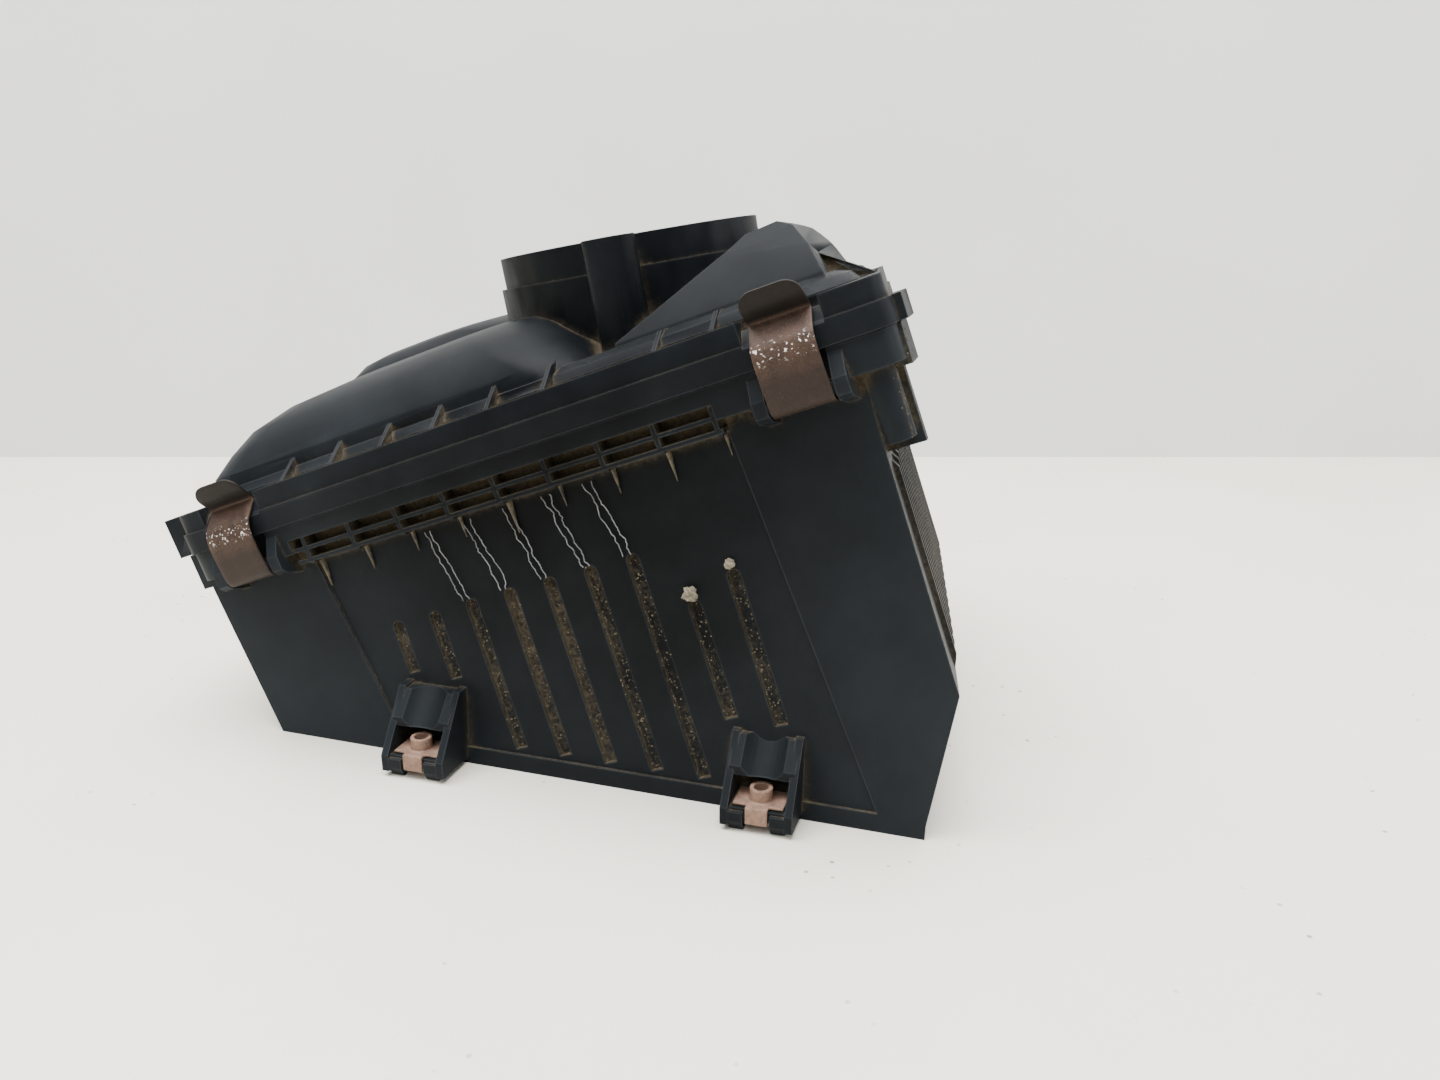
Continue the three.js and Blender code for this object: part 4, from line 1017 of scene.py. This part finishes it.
# ---- studio ----
@dataclass
class Studio:
    """A pale floor and wall, soft light and the camera."""

    camera_at: tuple[float, float, float] = (0.18845, -0.4740, 0.2230)
    heading: float = 16.5
    pitch: float = 17.3
    lens: float = 28.25
    wall_ahead: float = 0.958
    floor_half: float = 4.0

    def build(self) -> None:
        """Builds the stage, the lights and the camera."""
        self.stage()
        self.lights()
        self.camera()

    def stage(self) -> None:
        """Lays the floor and stands the wall square to the camera's heading."""
        turn = Matrix.Rotation(math.radians(self.heading), 3, "Z")
        foot = Vector((self.camera_at[0], self.camera_at[1], 0)) + turn @ Vector((0, self.wall_ahead, 0))
        side = turn @ Vector((self.floor_half, 0, 0))
        near = turn @ Vector((0, -2 * self.floor_half, 0))
        up = Vector((0, 0, 2.6))
        floor = new_object("floor", mesh_of("floor", [
            foot - side + near, foot + side + near, foot + side - near, foot - side - near], [(0, 1, 2, 3)]))
        wall = new_object("wall", mesh_of("wall", [
            foot - side, foot + side, foot + side + up, foot - side + up], [(0, 1, 2, 3)]))
        floor.data.materials.append(self.surface("painted_board", "#dcd7cc", "#cfc9bc", 0.004, 0.55,
                                                 specks=0.8))
        wall.data.materials.append(self.surface("plastered_wall", "#d6d7d6", "#cccdcc", 0.006, 0.8, True))

    def surface(self, name: str, light: str, dark: str, grain: float, rough: float,
                one_sided: bool = False, specks: float = 0.0) -> bpy.types.Material:
        """Makes a pale, faintly mottled surface.

        Args:
            name: the material's name.
            light: its lighter tone.
            dark: its darker tone.
            grain: size of its relief in metres.
            rough: its roughness.
            one_sided: whether it is clear when seen from behind.
            specks: how strongly dark specks show.

        Returns:
            The material.
        """
        material, tree, shader = start_material(name)
        place = add_node(tree, "ShaderNodeTexCoord")
        mottle = add_node(tree, "ShaderNodeTexNoise", None, {
            "Vector": place.outputs["Object"], "Scale": 9.0, "Detail": 6.0})
        tone = add_node(tree, "ShaderNodeMix", {"data_type": "RGBA"}, {
            0: mottle.outputs[0], 6: linear(light), 7: linear(dark)})
        cells = add_node(tree, "ShaderNodeTexVoronoi", None, {
            "Vector": place.outputs["Object"], "Scale": 95.0})
        speck = add_node(tree, "ShaderNodeMapRange", None, {
            "Value": cells.outputs["Distance"], "From Min": 0.1, "From Max": 0.06, "To Max": specks})
        rare = add_node(tree, "ShaderNodeMapRange", None, {
            "Value": mottle.outputs[0], "From Min": 0.5, "From Max": 0.6})
        seen = add_node(tree, "ShaderNodeMath", {"operation": "MULTIPLY"}, {
            0: speck.outputs[0], 1: rare.outputs[0]})
        tone = add_node(tree, "ShaderNodeMix", {"data_type": "RGBA"}, {
            0: seen.outputs[0], 6: tone.outputs[2], 7: linear("#6f675a")})
        relief = add_node(tree, "ShaderNodeTexNoise", None, {
            "Vector": place.outputs["Object"], "Scale": 1 / grain, "Detail": 3.0})
        bump = add_node(tree, "ShaderNodeBump", None, {
            "Height": relief.outputs[0], "Strength": 0.25, "Distance": 0.4 * MM})
        tree.links.new(tone.outputs[2], shader.inputs["Base Color"])
        tree.links.new(bump.outputs[0], shader.inputs["Normal"])
        shader.inputs["Roughness"].default_value = rough
        if one_sided:
            side = add_node(tree, "ShaderNodeNewGeometry")
            clear = add_node(tree, "ShaderNodeBsdfTransparent")
            mixed = add_node(tree, "ShaderNodeMixShader", None, {
                0: side.outputs["Backfacing"], 1: shader.outputs[0], 2: clear.outputs[0]})
            out = next(n for n in tree.nodes if n.type == "OUTPUT_MATERIAL")
            tree.links.new(mixed.outputs[0], out.inputs[0])
        return material

    def lights(self) -> None:
        """Hangs three large soft lights and fills the room with an even sky."""
        world = bpy.data.worlds.new("room")
        world.use_nodes = True
        sky = world.node_tree.nodes["Background"]
        sky.inputs[0].default_value = linear("#eef1f5")
        sky.inputs[1].default_value = 0.45
        bpy.context.scene.world = world
        for name, spot, size, power in (
                ("overhead", (-0.25, 0.0, 1.6), 1.8, 170.0),
                ("window", (1.6, 0.2, 1.0), 1.0, 26.0),
                ("fill", (0.3, -1.9, 1.9), 1.2, 28.0)):
            light = bpy.data.lights.new(name, "AREA")
            light.shape = "SQUARE"
            light.size = size
            light.energy = power
            lamp = bpy.data.objects.new(name, light)
            bpy.context.scene.collection.objects.link(lamp)
            lamp.location = spot
            lamp.rotation_euler = (Vector((0, 0, 0.08)) - Vector(spot)).to_track_quat("-Z", "Y").to_euler()

    def camera(self) -> None:
        """Sets the camera up."""
        data = bpy.data.cameras.new("camera")
        data.lens = self.lens
        data.sensor_width = 36.0
        data.clip_start = 0.01
        made = bpy.data.objects.new("camera", data)
        bpy.context.scene.collection.objects.link(made)
        made.location = self.camera_at
        made.rotation_euler = (math.radians(90 - self.pitch), 0, math.radians(self.heading))
        bpy.context.scene.camera = made


def main() -> None:
    """Builds every piece in order."""
    logging.basicConfig(level=logging.INFO, format="%(name)s %(message)s")
    Studio().build()
    finishes = Finishes()
    Housing().build(finishes)
    PanelFilter().build(finishes)


if __name__ == "__main__":
    main()
